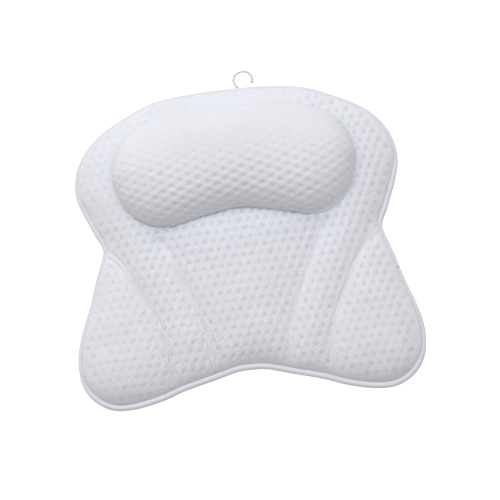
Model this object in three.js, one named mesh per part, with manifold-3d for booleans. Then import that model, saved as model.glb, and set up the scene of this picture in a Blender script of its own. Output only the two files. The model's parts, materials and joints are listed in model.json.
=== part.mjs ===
// A bath pillow lying face up on its suction cups, in millimetres, with +Z up and +Y towards the head.
// The origin is the middle of the underside of the whole object's box.

import * as THREE from 'three';
import { mergeVertices } from 'three/addons/utils/BufferGeometryUtils.js';
import Module from 'manifold-3d';

const wasm = await Module();
wasm.setup();

// Fits
const clearance = 0.3; // between pieces that touch
const seatClearance = 0.8; // under the roll, which rests on a curved face
const fillingClearance = 0.7; // around stuffing, measured straight up
const overrun = 1; // how far a cutting tool runs past what it cuts

// Pad
const padWidth = 380;
const padLength = 350;
const frontThickness = 2.5;
const backThickness = 2;
const frontCrown = 19; // how far the front stands above the edge seam
const backCrown = 7; // how far the back hangs below it
const frontRound = 46; // distance from an edge or seam at which the front is at full height
const backRound = 17;
const frontSeamShare = 0.42; // height left on a quilting seam, of the crown
const backSeamShare = 0.3;

// Piping
const pipingDiameter = 6;
const pipingCordDiameter = 3;
const pipingSides = 6;
const pipingButtGap = 0.5;
const pipingJointShare = -0.269; // of the stitched half length, from the pad's middle to the butt joint

// Roll
const rollLength = 268;
const rollDepth = 124;
const rollHeight = 52; // above the pad
const rollHeadMargin = 25.4; // from the pad's head seam to the roll
const rollEndRound = 52; // length of each rounded end
const rollWidestHeight = 15; // of the widest line, above the pad
const rollTuck = 7; // how far the foot of the roll is drawn in under its widest line
const rollCoverThickness = 3;
const rollFullness = 2.3; // exponent of the section: 2 is an ellipse
const rollPairs = 16; // sections along the roll
const rollSteps = 6; // from the ridge to the widest line
const rollTuckSteps = 2;

// Suction cup
const cupDiameter = 60;
const cupLipWidth = 3;
const cupLipThickness = 0.8;
const cupHollow = 7;
const cupHollowBendShares = [0.6, 0.8]; // where the hollow's roof bends, of its width and height
const cupBellHeight = 12;
const cupBellBendShares = [0.66, 0.68]; // where the bell bends, of its radius and height
const cupNeckDiameter = 8;
const cupHeadDiameter = 14;
const cupHeadHeight = 4;
const cupHeadBevel = 1.2;
const cupSegments = 16;

// Cup strap
const strapLength = 56;
const strapWidth = 22;
const strapThickness = 1.2;
const strapEndLength = 12;
const strapHeadRoom = 2; // beside the cup's head, under the strap's arch

// Ribbon loop and hook
const ribbonWidth = 8;
const ribbonThickness = 1.2;
const ribbonEyeRadius = 2.7;
const ribbonTail = 16;
const hookWire = 2.4;
const hookBall = 3.2;
const hookUpperRadius = 10.65; // to the middle of the wire
const hookLowerRadius = 8.6;
const hookCentreSpacing = 24;
const hookLean = 1.5; // sideways offset of the upper loop
const hookPlace = 12.6; // of the ribbon, right of the middle
const hookReach = 28.5; // of the upper loop's wire past the pad's edge
const hookAxisHeight = 6.5;
const hookWireSides = 8;
const hookTips = [168, -12]; // where the wire ends on the lower and the upper loop, in degrees
const hookArcSteps = 12;
const hookBallSides = 10;

// Half of the stitched outline, from the middle of the head edge to the middle of the foot edge
const outlineShares = [
  [0, 1], [0.406, 0.975], [0.638, 0.881], [0.782, 0.792], [0.874, 0.697], [0.936, 0.566],
  [0.942, 0.401], [0.858, 0.158], [0.825, 0.085], [0.811, 0], [0.864, -0.172], [0.916, -0.36],
  [0.967, -0.513], [1, -0.662], [0.994, -0.814], [0.941, -0.924], [0.842, -0.993], [0.72, -1],
  [0.563, -0.965], [0.417, -0.91], [0.256, -0.864], [0.1, -0.818], [0, -0.809],
];
const headCornerShare = 0.79; // where the head edge turns into the side
const footCornerShare = -0.94;

// Quilting seams of the right half, from the foot edge up. Each line runs on to the head edge unsewn.
const innerFootShare = 0.223;
const innerSeamShares = [[0.25, -0.6], [0.29, -0.47], [0.345, -0.32], [0.4, -0.18], [0.485, 0.03]];
const innerRunOnShares = [[0.49, 0.29], [0.43, 0.64]];
const innerHeadShare = 0.36;
const outerFootShare = 0.47;
const outerSeamShares = [[0.486, -0.71], [0.523, -0.545], [0.58, -0.395], [0.66, -0.23]];
const outerWaistShares = [[0.725, -0.11], [0.808, 0]];
const outerRunOnShares = [[0.725, -0.07], [0.74, 0.086], [0.78, 0.286], [0.8, 0.486], [0.73, 0.686]];
const outerHeadShare = 0.6;

// Outline of the roll's right half, of half its length and half its depth
const rollLowerShares = [
  [0, -0.78], [0.28, -0.873], [0.57, -1], [0.78, -0.893], [0.925, -0.598], [0.99, -0.223],
];
const rollUpperShares = [
  [1, 0.004], [0.955, 0.359], [0.836, 0.681], [0.634, 0.891], [0.336, 0.988], [0, 1],
];

// Middles of the right-hand suction cups, of half the stitched width and length
const cupShares = { head: [0.5, 0.66], waist: [0.545, -0.06], foot: [0.71, -0.66] };

// Divisions of the pad's surface
const lobeColumns = 5;
const channelColumns = 4;
const centreColumns = 6;
const padRows = 16;
const headRow = 10; // above this row the stuffing is one piece
const crowdingShare = 0.5; // how much the divisions crowd towards edges and seams

// Heights that follow from the stack
const halfWidth = padWidth / 2 - pipingDiameter;
const halfLength = padLength / 2 - pipingDiameter;
const cupNeckHeight = strapThickness + 2 * clearance;
const cupHeight = cupBellHeight + cupNeckHeight + cupHeadHeight;
const seamHeight = cupHeight + clearance + backCrown + backThickness + clearance / 2;
const padTop = seamHeight + clearance / 2 + frontThickness + frontCrown;

const materials = {
  mesh: new THREE.MeshStandardMaterial({ color: 0xe4e5ec, roughness: 0.95, metalness: 0 }),
  piping: new THREE.MeshStandardMaterial({ color: 0xe2e2ea, roughness: 0.9, metalness: 0 }),
  stuffing: new THREE.MeshStandardMaterial({ color: 0xf3f3f1, roughness: 1, metalness: 0 }),
  webbing: new THREE.MeshStandardMaterial({ color: 0xe9e9ec, roughness: 0.85, metalness: 0 }),
  clearVinyl: new THREE.MeshStandardMaterial({ color: 0xdfe8ec, roughness: 0.15, metalness: 0 }),
  steel: new THREE.MeshStandardMaterial({ color: 0xc9cacc, roughness: 0.2, metalness: 1 }),
};

const pillow = new THREE.Group();

function addPiece(name, geometry, material) {
  const mesh = new THREE.Mesh(geometry, material);
  mesh.name = name;
  pillow.add(mesh);
  return mesh;
}

function toSolid(geometry) {
  const bare = geometry.clone();
  bare.deleteAttribute('normal');
  bare.deleteAttribute('uv');
  const merged = mergeVertices(bare);
  const vertProperties = new Float32Array(merged.attributes.position.array);
  const triVerts = new Uint32Array(merged.index.array);
  return new wasm.Manifold(new wasm.Mesh({ numProp: 3, vertProperties, triVerts }));
}

function toGeometry(solid) {
  const mesh = solid.getMesh();
  const geometry = new THREE.BufferGeometry();
  geometry.setAttribute('position', new THREE.BufferAttribute(mesh.vertProperties, 3));
  geometry.setIndex(new THREE.BufferAttribute(mesh.triVerts, 1));
  return geometry;
}

// Collects points and four-sided faces into one closed geometry.
class Faces {
  constructor() {
    this.positions = [];
    this.index = [];
  }

  add(point) {
    this.positions.push(point.x, point.y, point.z);
    return this.positions.length / 3 - 1;
  }

  quad(a, b, c, d, otherDiagonal = false) {
    if (otherDiagonal) this.index.push(a, b, d, b, c, d);
    else this.index.push(a, b, c, a, c, d);
  }

  geometry() {
    const geometry = new THREE.BufferGeometry();
    geometry.setAttribute('position', new THREE.Float32BufferAttribute(this.positions, 3));
    geometry.setIndex(this.index);
    return mergeVertices(geometry);
  }
}

// Divisions from 0 to 1 that crowd towards both ends
function divisions(count) {
  return Array.from({ length: count + 1 }, (_, i) => {
    const even = i / count;
    return THREE.MathUtils.lerp(even, 0.5 - 0.5 * Math.cos(Math.PI * even), crowdingShare);
  });
}

// Where a line of points crosses a value on one axis: the farthest crossing on the other axis, either way
function crossing(points, axis, at, way) {
  const other = axis === 'x' ? 'y' : 'x';
  let found = -Infinity;
  for (let i = 1; i < points.length; i += 1) {
    const [a, b] = [points[i - 1], points[i]];
    if ((a[axis] - at) * (b[axis] - at) > 0 || a[axis] === b[axis]) continue;
    const value = THREE.MathUtils.lerp(a[other], b[other], (at - a[axis]) / (b[axis] - a[axis]));
    found = Math.max(found, way * value);
  }
  return way * found;
}

function planPoint([x, y]) {
  return new THREE.Vector2(x * halfWidth, y * halfLength);
}

function mirrored(points) {
  return points.map((p) => new THREE.Vector2(-p.x, p.y));
}

// A closed smooth line through the points of a right half and their mirror images
function closedOutline(half, count) {
  const inner = half.filter((p) => p.x > 0);
  const loop = [...half, ...mirrored(inner).reverse()].map((p) => new THREE.Vector3(p.x, p.y, 0));
  return new THREE.CatmullRomCurve3(loop, true, 'catmullrom', 0.5).getPoints(count);
}

const curveSamples = 480;
const outline = closedOutline(outlineShares.map(planPoint), curveSamples);
const headEdge = (x) => crossing(outline, 'x', x, 1);
const footEdge = (x) => crossing(outline, 'x', x, -1);
const sideEdge = (y) => crossing(outline, 'y', y, 1);

function distanceToLine(point, line) {
  const segment = new THREE.Line3();
  const nearest = new THREE.Vector3();
  let least = Infinity;
  for (let i = 1; i < line.length; i += 1) {
    segment.start.set(line[i - 1].x, line[i - 1].y, 0);
    segment.end.set(line[i].x, line[i].y, 0);
    segment.closestPointToPoint(point, true, nearest);
    least = Math.min(least, nearest.distanceTo(point));
  }
  return least;
}

// The lines from foot to head that divide the right half of the pad
function dividingLine(footShare, middleShares, headShare) {
  const foot = new THREE.Vector2(footShare * halfWidth, footEdge(footShare * halfWidth));
  const head = new THREE.Vector2(headShare * halfWidth, headEdge(headShare * halfWidth));
  return new THREE.SplineCurve([foot, ...middleShares.map(planPoint), head]).getPoints(curveSamples / 4);
}

function sideLine() {
  const [foot, head] = [footCornerShare * halfLength, headCornerShare * halfLength];
  return divisions(curveSamples / 4).map((share) => {
    const y = THREE.MathUtils.lerp(foot, head, share);
    return new THREE.Vector2(sideEdge(y), y);
  });
}

const innerLine = dividingLine(innerFootShare, [...innerSeamShares, ...innerRunOnShares], innerHeadShare);
const outerLine = dividingLine(outerFootShare, [...outerSeamShares, ...outerRunOnShares], outerHeadShare);
const rightSide = sideLine();

// The sewn stretch of each seam, for the depth of its groove
function sewnLine(footShare, shares) {
  const foot = new THREE.Vector2(footShare * halfWidth, footEdge(footShare * halfWidth));
  return new THREE.SplineCurve([foot, ...shares.map(planPoint)]).getPoints(curveSamples / 16);
}

const innerSeam = sewnLine(innerFootShare, innerSeamShares);
const outerSeam = sewnLine(outerFootShare, [...outerSeamShares, ...outerWaistShares]);

function quarterRound(share) {
  const left = 1 - Math.min(share, 1);
  return Math.sqrt(1 - left * left);
}

// How far a panel stands off the edge seam at a point of the plan
function rise(point, crown, round, seamShare) {
  const half = new THREE.Vector3(Math.abs(point.x), point.y, 0);
  const edge = quarterRound(distanceToLine(half, outline) / round);
  const seamGap = Math.min(distanceToLine(half, innerSeam), distanceToLine(half, outerSeam));
  const seam = quarterRound(seamGap / round);
  return crown * edge * THREE.MathUtils.lerp(seamShare, 1, seam);
}

function pointOnLine(line, share) {
  const y = THREE.MathUtils.lerp(line[0].y, line.at(-1).y, share);
  return new THREE.Vector2(crossing(line, 'y', y, Math.sign(line[0].x)), y);
}

// A point of the strip between two lines, blended so that the strip's ends follow the outline
function stripPoint(left, right, across, along) {
  const point = pointOnLine(left, along).lerp(pointOnLine(right, along), across);
  for (const [end, edge, weight] of [[0, footEdge, 1 - along], [1, headEdge, along]]) {
    const chord = pointOnLine(left, end).lerp(pointOnLine(right, end), across);
    point.y += weight * (edge(chord.x) - chord.y);
  }
  return point;
}

// The plan of the pad as rows of points, from the foot edge to the head edge
function padPlan() {
  const lines = [rightSide, outerLine, innerLine];
  const all = [...lines.map(mirrored), ...lines.toReversed()];
  const counts = [lobeColumns, channelColumns, centreColumns, channelColumns, lobeColumns];
  return divisions(padRows).map((along) =>
    counts.flatMap((count, strip) => {
      const shares = divisions(count).slice(strip ? 1 : 0);
      return shares.map((across) => stripPoint(all[strip], all[strip + 1], across, along));
    }),
  );
}

const plan = padPlan();

function raised(heightAt) {
  return plan.map((row) => row.map((p) => new THREE.Vector3(p.x, p.y, heightAt(p))));
}

const frontRise = raised((p) => rise(p, frontCrown, frontRound, frontSeamShare));
const backRise = raised((p) => rise(p, backCrown, backRound, backSeamShare));

function lifted(rows, sign, base) {
  return rows.map((row) => row.map((p) => new THREE.Vector3(p.x, p.y, base + sign * p.z)));
}

const frontFace = lifted(frontRise, 1, seamHeight + clearance / 2 + frontThickness);
const frontInside = lifted(frontRise, 1, seamHeight + clearance / 2);
const backInside = lifted(backRise, -1, seamHeight - clearance / 2);
const backFace = lifted(backRise, -1, seamHeight - clearance / 2 - backThickness);

// A closed body between an upper and a lower face with the same rows of points
function slab(upper, lower) {
  const faces = new Faces();
  const top = upper.map((row) => row.map((p) => faces.add(p)));
  const bottom = lower.map((row) => row.map((p) => faces.add(p)));
  const [lastRow, lastColumn] = [top.length - 1, top[0].length - 1];
  for (let i = 0; i < lastRow; i += 1) {
    for (let j = 0; j < lastColumn; j += 1) {
      const leftHalf = upper[i][j].x + upper[i][j + 1].x < 0;
      faces.quad(top[i][j], top[i][j + 1], top[i + 1][j + 1], top[i + 1][j], leftHalf);
      faces.quad(bottom[i + 1][j], bottom[i + 1][j + 1], bottom[i][j + 1], bottom[i][j], !leftHalf);
    }
  }
  const wall = ([i, j], [k, l]) => faces.quad(top[i][j], bottom[i][j], bottom[k][l], top[k][l]);
  for (let j = 0; j < lastColumn; j += 1) {
    wall([0, j], [0, j + 1]);
    wall([lastRow, j + 1], [lastRow, j]);
  }
  for (let i = 0; i < lastRow; i += 1) {
    wall([i, lastColumn], [i + 1, lastColumn]);
    wall([i + 1, 0], [i, 0]);
  }
  return faces.geometry();
}

addPiece('front_panel', slab(frontFace, frontInside), materials.mesh);
addPiece('back_panel', slab(backInside, backFace), materials.mesh);

// Draws a block of points in by the filling's clearance along its sides
function drawnIn(rows, sign) {
  const [lastRow, lastColumn] = [rows.length - 1, rows[0].length - 1];
  const pull = (from, to) => from.clone().lerp(to, fillingClearance / from.distanceTo(to));
  const narrowed = rows.map((row) => [
    pull(row[0], row[1]),
    ...row.slice(1, lastColumn),
    pull(row[lastColumn], row[lastColumn - 1]),
  ]);
  return narrowed.map((row, i) =>
    row.map((p, j) => {
      const inward = { 0: 1, [lastRow]: lastRow - 1 }[i] ?? i;
      const q = inward === i ? p.clone() : pull(p, narrowed[inward][j]);
      q.z += sign * fillingClearance;
      return q;
    }),
  );
}

function addFilling(name, rowSpan, columnSpan) {
  const cut = (list, [first, last]) => list.slice(first, last + 1);
  const block = (rows) => cut(rows, rowSpan).map((row) => cut(row, columnSpan));
  const geometry = slab(drawnIn(block(frontInside), -1), drawnIn(block(backInside), 1));
  addPiece(name, geometry, materials.stuffing);
}

function addFillings() {
  const lastColumn = plan[0].length - 1;
  const channelEdge = lobeColumns + channelColumns;
  const channels = {
    filling_channel_left: [lobeColumns, channelEdge],
    filling_centre: [channelEdge, channelEdge + centreColumns],
    filling_channel_right: [lastColumn - channelEdge, lastColumn - lobeColumns],
  };
  for (const [name, span] of Object.entries(channels)) addFilling(name, [1, headRow], span);
  addFilling('filling_lobe_left', [1, headRow], [1, lobeColumns]);
  addFilling('filling_lobe_right', [1, headRow], [lastColumn - lobeColumns, lastColumn - 1]);
  addFilling('filling_head', [headRow, padRows - 1], [1, lastColumn - 1]);
}

addFillings();

// The stitched edge, as the pad's corner points, counter-clockwise from the piping's joint on the right
function edgeLoop() {
  const lastColumn = plan[0].length - 1;
  const right = plan.map((row) => row[lastColumn]);
  const left = plan.map((row) => row[0]).reverse();
  const loop = [...right, ...plan.at(-1).toReversed().slice(1), ...left.slice(1), ...plan[0].slice(1, -1)];
  const away = (p) => Math.abs(p.y - pipingJointShare * halfLength);
  const joint = right.reduce((best, p, i) => (away(p) < away(right[best]) ? i : best), 0);
  return [...loop.slice(joint), ...loop.slice(0, joint)];
}

// A path that steps from point to point, so that a tube along it turns where the pad's edge turns
class StationPath extends THREE.Curve {
  constructor(stations) {
    super();
    this.stations = stations;
  }

  getPoint(share, target = new THREE.Vector3()) {
    const place = share * (this.stations.length - 1);
    const first = Math.min(Math.floor(place), this.stations.length - 2);
    return target.copy(this.stations[first]).lerp(this.stations[first + 1], place - first);
  }

  getPointAt(share, target) {
    return this.getPoint(share, target);
  }

  getTangentAt(share, target = new THREE.Vector3()) {
    const last = this.stations.length - 1;
    const i = Math.round(share * last);
    const before = this.stations[Math.max(i - 1, 0)];
    const after = this.stations[Math.min(i + 1, last)];
    return target.copy(after).sub(before).normalize();
  }
}

// The middle of the piping, just outside the stitched edge, from one side of its butt joint to the other
function pipingPath() {
  const loop = edgeLoop();
  const offset = pipingDiameter / 2 + clearance;
  const at = (i) => loop[(i + loop.length) % loop.length];
  const stations = loop.map((p, i) => {
    const [along, back] = [at(i + 1).clone().sub(p).normalize(), p.clone().sub(at(i - 1)).normalize()];
    const tangent = along.add(back).normalize();
    return new THREE.Vector3(p.x + offset * tangent.y, p.y - offset * tangent.x, seamHeight);
  });
  const [start, next, last] = [stations[0], stations[1], stations.at(-1)];
  const open = start.clone().lerp(next, pipingButtGap / 2 / start.distanceTo(next));
  const close = start.clone().lerp(last, pipingButtGap / 2 / start.distanceTo(last));
  return new StationPath([open, ...stations.slice(1), close]);
}

function circleShape(radius, sides) {
  const shape = new THREE.Shape();
  for (let i = 0; i < sides; i += 1) {
    const angle = (2 * Math.PI * i) / sides;
    const [x, y] = [radius * Math.cos(angle), radius * Math.sin(angle)];
    if (i) shape.lineTo(x, y);
    else shape.moveTo(x, y);
  }
  shape.closePath();
  return shape;
}

function addPiping() {
  const path = pipingPath();
  const steps = path.stations.length - 1;
  const cover = circleShape(pipingDiameter / 2, pipingSides);
  cover.holes.push(circleShape(pipingCordDiameter / 2 + clearance, pipingSides));
  const cord = circleShape(pipingCordDiameter / 2, pipingSides);
  const sweep = { steps, bevelEnabled: false, extrudePath: path };
  addPiece('edge_piping', new THREE.ExtrudeGeometry(cover, sweep), materials.piping);
  addPiece('piping_cord', new THREE.ExtrudeGeometry(cord, sweep), materials.stuffing);
}

addPiping();

// Height of the front face's facets over a point of the plan
function frontHeight(x, y) {
  const target = new THREE.Vector3();
  const triangle = new THREE.Triangle();
  const flat = (p) => new THREE.Vector3(p.x, p.y, 0);
  const place = new THREE.Vector3(x, y, 0);
  for (let i = 1; i < frontFace.length; i += 1) {
    const [low, high] = [frontFace[i - 1], frontFace[i]];
    for (let j = 1; j < high.length; j += 1) {
      const [a, b, c, d] = [low[j - 1], low[j], high[j], high[j - 1]];
      const pairs = a.x + b.x < 0 ? [[a, b, d], [b, c, d]] : [[a, b, c], [a, c, d]];
      for (const corners of pairs) {
        triangle.set(...corners.map(flat));
        if (!triangle.containsPoint(place)) continue;
        triangle.getBarycoord(place, target);
        return corners[0].z * target.x + corners[1].z * target.y + corners[2].z * target.z;
      }
    }
  }
  throw new Error(`no face of the pad over ${x}, ${y}`);
}

const rollCentre = halfLength - rollHeadMargin - rollDepth / 2;

function rollPlanPoint([x, y]) {
  return new THREE.Vector2((x * rollLength) / 2, rollCentre + (y * rollDepth) / 2);
}

const rollOutline = closedOutline([...rollLowerShares, ...rollUpperShares].map(rollPlanPoint), curveSamples);

// Pairs of ridge point and widest point, counter-clockwise from the right end of the roll
function rollSpokes() {
  const end = rollOutline.reduce((best, p) => (p.x > best.x ? p : best));
  const spineHalf = rollLength / 2 - rollEndRound;
  const spoke = (share, way) => {
    const x = share * end.x;
    const atEnd = Math.abs(share) > 1 - Number.EPSILON;
    const [low, high] = atEnd ? [end.y, end.y] : [-1, 1].map((side) => crossing(rollOutline, 'x', x, side));
    const ridge = new THREE.Vector2(share * spineHalf, (low + high) / 2);
    return { ridge, widest: new THREE.Vector2(x, way > 0 ? high : low) };
  };
  const shares = Array.from({ length: rollPairs + 1 }, (_, i) => Math.cos((Math.PI * i) / rollPairs));
  const upper = shares.map((share) => spoke(share, 1));
  const lower = shares.slice(1, -1).reverse().map((share) => spoke(share, -1));
  return [...upper, ...lower];
}

const spokes = rollSpokes();

function ringAt(inset, radialShare, tuck, heightAt) {
  return spokes.map(({ ridge, widest }) => {
    const radial = widest.clone().sub(ridge);
    const reach = Math.max(radial.length() - inset, 0);
    const p = ridge.clone().addScaledVector(radial.normalize(), reach * radialShare - tuck);
    return new THREE.Vector3(p.x, p.y, heightAt(p));
  });
}

// The roll's skin, drawn in by an inset, as rings from its ridge down to its foot on the pad
function rollRings(inset, lift) {
  const power = 2 / rollFullness;
  const dome = divisions(rollSteps).map((share) => {
    const angle = (share * Math.PI) / 2;
    const height = THREE.MathUtils.lerp(rollWidestHeight, rollHeight - inset, Math.cos(angle) ** power);
    return ringAt(inset, Math.sin(angle) ** power, 0, () => padTop + height);
  });
  const foot = Array.from({ length: rollTuckSteps }, (_, i) => {
    const share = (i + 1) / rollTuckSteps;
    const tuck = rollTuck * share * share;
    return ringAt(inset, 1, tuck, (p) => {
      const ground = frontHeight(p.x, p.y) + lift;
      return THREE.MathUtils.lerp(padTop + rollWidestHeight, ground, share);
    });
  });
  return [...dome, ...foot];
}

function addRings(faces, rings, outward) {
  const index = rings.map((ring) => ring.map((p) => faces.add(p)));
  for (let k = 0; k < index.length - 1; k += 1) {
    index[k].forEach((_, i) => {
      const next = (i + 1) % index[k].length;
      const corners = [index[k][i], index[k + 1][i], index[k + 1][next], index[k][next]];
      faces.quad(...(outward ? corners : corners.toReversed()), rings[k][i].x < 0);
    });
  }
}

function rollCover() {
  const faces = new Faces();
  const outer = rollRings(0, seatClearance);
  const inner = rollRings(rollCoverThickness, seatClearance);
  addRings(faces, outer, true);
  addRings(faces, inner, false);
  addRings(faces, [outer.at(-1), inner.at(-1)], true);
  return faces.geometry();
}

function rollFilling() {
  const faces = new Faces();
  const inset = rollCoverThickness + fillingClearance;
  const lift = seatClearance + fillingClearance;
  const outer = rollRings(inset, lift);
  const ground = (p) => frontHeight(p.x, p.y) + lift;
  const under = [0, 1 / 2].map((share) => ringAt(inset + rollTuck, share, 0, ground));
  addRings(faces, outer, true);
  addRings(faces, [...under, outer.at(-1)], false);
  return faces.geometry();
}

addPiece('roll_cover', rollCover(), materials.mesh);
addPiece('roll_filling', rollFilling(), materials.stuffing);

function suctionCup() {
  const rim = cupDiameter / 2;
  const hollow = rim - cupLipWidth;
  const neck = cupNeckDiameter / 2;
  const head = cupHeadDiameter / 2;
  const shoulder = cupBellHeight + cupNeckHeight;
  const profile = [
    [0, cupHollow],
    [hollow * cupHollowBendShares[0], cupHollow * cupHollowBendShares[1]],
    [hollow, 0],
    [rim, 0],
    [rim, cupLipThickness],
    [rim * cupBellBendShares[0], cupBellHeight * cupBellBendShares[1]],
    [neck, cupBellHeight],
    [neck, shoulder],
    [head, shoulder],
    [head, cupHeight - cupHeadBevel],
    [head - cupHeadBevel, cupHeight],
    [0, cupHeight],
  ];
  const turned = new THREE.LatheGeometry(profile.map(([r, z]) => new THREE.Vector2(r, z)), cupSegments);
  turned.rotateX(Math.PI / 2);
  return turned;
}

// A shape drawn in a plane that looks along X, given a thickness along X about x = 0
function alongX(shape, width, curveSegments) {
  const geometry = new THREE.ExtrudeGeometry(shape, { depth: width, bevelEnabled: false, curveSegments });
  geometry.translate(0, 0, -width / 2);
  const turn = new THREE.Matrix4().makeBasis(
    new THREE.Vector3(0, 1, 0),
    new THREE.Vector3(0, 0, 1),
    new THREE.Vector3(1, 0, 0),
  );
  return geometry.applyMatrix4(turn);
}

// Webbing sewn down at both ends, arched round the cup's head, with a buttonhole for the neck
function cupStrap() {
  const end = strapLength / 2;
  const bend = end - strapEndLength;
  const arch = cupHeadDiameter / 2 + strapHeadRoom;
  const drop = cupHeadHeight + clearance + strapThickness;
  const sag = strapThickness - drop;
  const upper = [[-end, 0], [-bend, 0], [-arch, sag], [arch, sag], [bend, 0], [end, 0]];
  const lower = upper.map(([y, z]) => [y, z - strapThickness]).reverse();
  const shape = new THREE.Shape([...upper, ...lower].map(([y, z]) => new THREE.Vector2(y, z)));
  const strap = alongX(shape, strapWidth, 1);
  strap.translate(0, 0, cupHeight);
  const holeRadius = cupNeckDiameter / 2 + clearance;
  const hole = new THREE.CylinderGeometry(holeRadius, holeRadius, strapThickness + 2 * overrun, cupSegments);
  hole.rotateX(Math.PI / 2);
  hole.translate(0, 0, cupBellHeight + cupNeckHeight / 2);
  return toGeometry(toSolid(strap).subtract(toSolid(hole)));
}

function addCups() {
  for (const [row, share] of Object.entries(cupShares)) {
    for (const [side, sign] of [['left', -1], ['right', 1]]) {
      const place = planPoint(share);
      for (const [kind, shape, material] of [
        ['suction_cup', suctionCup(), materials.clearVinyl],
        ['cup_strap', cupStrap(), materials.webbing],
      ]) {
        addPiece(`${kind}_${row}_${side}`, shape, material).position.set(sign * place.x, place.y, 0);
      }
    }
  }
}

addCups();

// The hook's upper loop reaches past the head edge, and its lower loop turns about this line
const hookLength = hookUpperRadius + hookCentreSpacing + hookLowerRadius;
const hookDroop = Math.asin((hookAxisHeight - hookBall / 2) / hookLength);
const hookAxisY = padLength / 2 + hookReach - hookLength * Math.cos(hookDroop);

// Ribbon folded round the hook's wire, its two layers sewn flat under the back panel
function hangingLoop() {
  const outer = ribbonEyeRadius + ribbonThickness;
  const seat = cupHeight - hookAxisHeight;
  const tail = seat - 2 * ribbonThickness;
  const shape = new THREE.Shape();
  shape.moveTo(-ribbonTail, seat);
  shape.lineTo(-ribbonTail, tail);
  shape.lineTo(-ribbonEyeRadius, tail);
  shape.lineTo(-outer, 0);
  shape.absarc(0, 0, outer, Math.PI, 2 * Math.PI, false);
  shape.lineTo(ribbonEyeRadius, seat - ribbonThickness);
  shape.lineTo(ribbonThickness, seat);
  const eye = new THREE.Path();
  eye.moveTo(-ribbonEyeRadius, 0);
  eye.absarc(0, 0, ribbonEyeRadius, Math.PI, 2 * Math.PI, false);
  eye.lineTo(ribbonThickness / 2, tail - ribbonThickness);
  eye.lineTo(-ribbonThickness / 2, tail - ribbonThickness);
  shape.holes.push(eye);
  return alongX(shape, ribbonWidth, 8);
}

function arcPoints(centre, radius, fromDegrees, toDegrees) {
  return Array.from({ length: hookArcSteps + 1 }, (_, i) => {
    const angle = THREE.MathUtils.degToRad(THREE.MathUtils.lerp(fromDegrees, toDegrees, i / hookArcSteps));
    return new THREE.Vector3(centre.x + radius * Math.cos(angle), centre.y + radius * Math.sin(angle), 0);
  });
}

// The S of the hook, drawn flat, with the middle of its lower loop's wire at the origin
function hookLine() {
  const lower = new THREE.Vector2(0, hookLowerRadius);
  const upper = new THREE.Vector2(hookLean, hookLowerRadius + hookCentreSpacing);
  const crossLean = Math.asin((hookLowerRadius + hookUpperRadius) / hookCentreSpacing);
  const tangent = THREE.MathUtils.radToDeg(crossLean);
  return [
    ...arcPoints(lower, hookLowerRadius, hookTips[0], 360 + tangent),
    ...arcPoints(upper, hookUpperRadius, 180 + tangent, hookTips[1]),
  ];
}

function hook() {
  const line = hookLine();
  const path = new THREE.CatmullRomCurve3(line, false, 'centripetal');
  const wire = circleShape(hookWire / 2, hookWireSides);
  const steps = 2 * line.length;
  let body = toSolid(new THREE.ExtrudeGeometry(wire, { steps, bevelEnabled: false, extrudePath: path }));
  for (const tip of [line[0], line.at(-1)]) {
    const ball = new THREE.SphereGeometry(hookBall / 2, hookBallSides, hookBallSides / 2 + 1);
    ball.translate(tip.x, tip.y, 0);
    body = body.add(toSolid(ball));
  }
  return toGeometry(body);
}

addPiece('hanging_loop', hangingLoop(), materials.webbing).position.set(hookPlace, hookAxisY, hookAxisHeight);
const hookPiece = addPiece('s_hook', hook(), materials.steel);
hookPiece.position.set(hookPlace, hookAxisY, hookAxisHeight);
hookPiece.rotation.x = -hookDroop;

// The origin goes to the middle of the underside of the object's box.
pillow.updateMatrixWorld(true);
const middle = new THREE.Box3().setFromObject(pillow, true).getCenter(new THREE.Vector3());
pillow.position.set(-middle.x, -middle.y, 0);
pillow.updateMatrixWorld(true);

export default pillow;
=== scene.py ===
"""A bath pillow of pale air mesh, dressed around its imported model; metres, +Z up, +Y towards the head."""

import json
import math

import bmesh
import bpy
import numpy as np
from mathutils import Matrix, Vector


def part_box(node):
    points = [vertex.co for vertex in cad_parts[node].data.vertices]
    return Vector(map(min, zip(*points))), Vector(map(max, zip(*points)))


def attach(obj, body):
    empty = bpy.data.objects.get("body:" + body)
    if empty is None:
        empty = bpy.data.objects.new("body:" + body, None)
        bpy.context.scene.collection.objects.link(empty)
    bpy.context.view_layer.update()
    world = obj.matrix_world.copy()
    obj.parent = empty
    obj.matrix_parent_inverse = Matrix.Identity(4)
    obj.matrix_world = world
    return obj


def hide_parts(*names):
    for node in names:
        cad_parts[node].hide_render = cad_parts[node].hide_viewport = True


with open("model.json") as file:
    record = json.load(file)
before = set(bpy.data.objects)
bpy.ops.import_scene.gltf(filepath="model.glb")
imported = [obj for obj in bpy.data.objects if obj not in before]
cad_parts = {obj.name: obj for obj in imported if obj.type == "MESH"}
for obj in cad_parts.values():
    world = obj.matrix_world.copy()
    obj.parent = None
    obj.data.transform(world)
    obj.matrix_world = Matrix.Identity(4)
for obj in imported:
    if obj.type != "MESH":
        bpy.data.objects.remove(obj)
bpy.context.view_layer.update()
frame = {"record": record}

MM = 0.001

# Pad. A panel has its crown, the width of its rounding, and the share of its height that is left on a seam.
PIPING_DIAMETER = 6 * MM
HALF_WIDTH = 190 * MM - PIPING_DIAMETER
HALF_LENGTH = 175 * MM - PIPING_DIAMETER
GAP = 0.3 * MM
FRONT = (19 * MM, 46 * MM, 0.42)
BACK = (7 * MM, 17 * MM, 0.3)
FRONT_THICKNESS = 2.5 * MM
BACK_THICKNESS = 2 * MM
FRONT_LEAST = 0.6 * MM
BACK_LEAST = 0.5 * MM
CUP_SHARES = {"head": (0.5, 0.66), "waist": (0.545, -0.06), "foot": (0.71, -0.66)}

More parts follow.
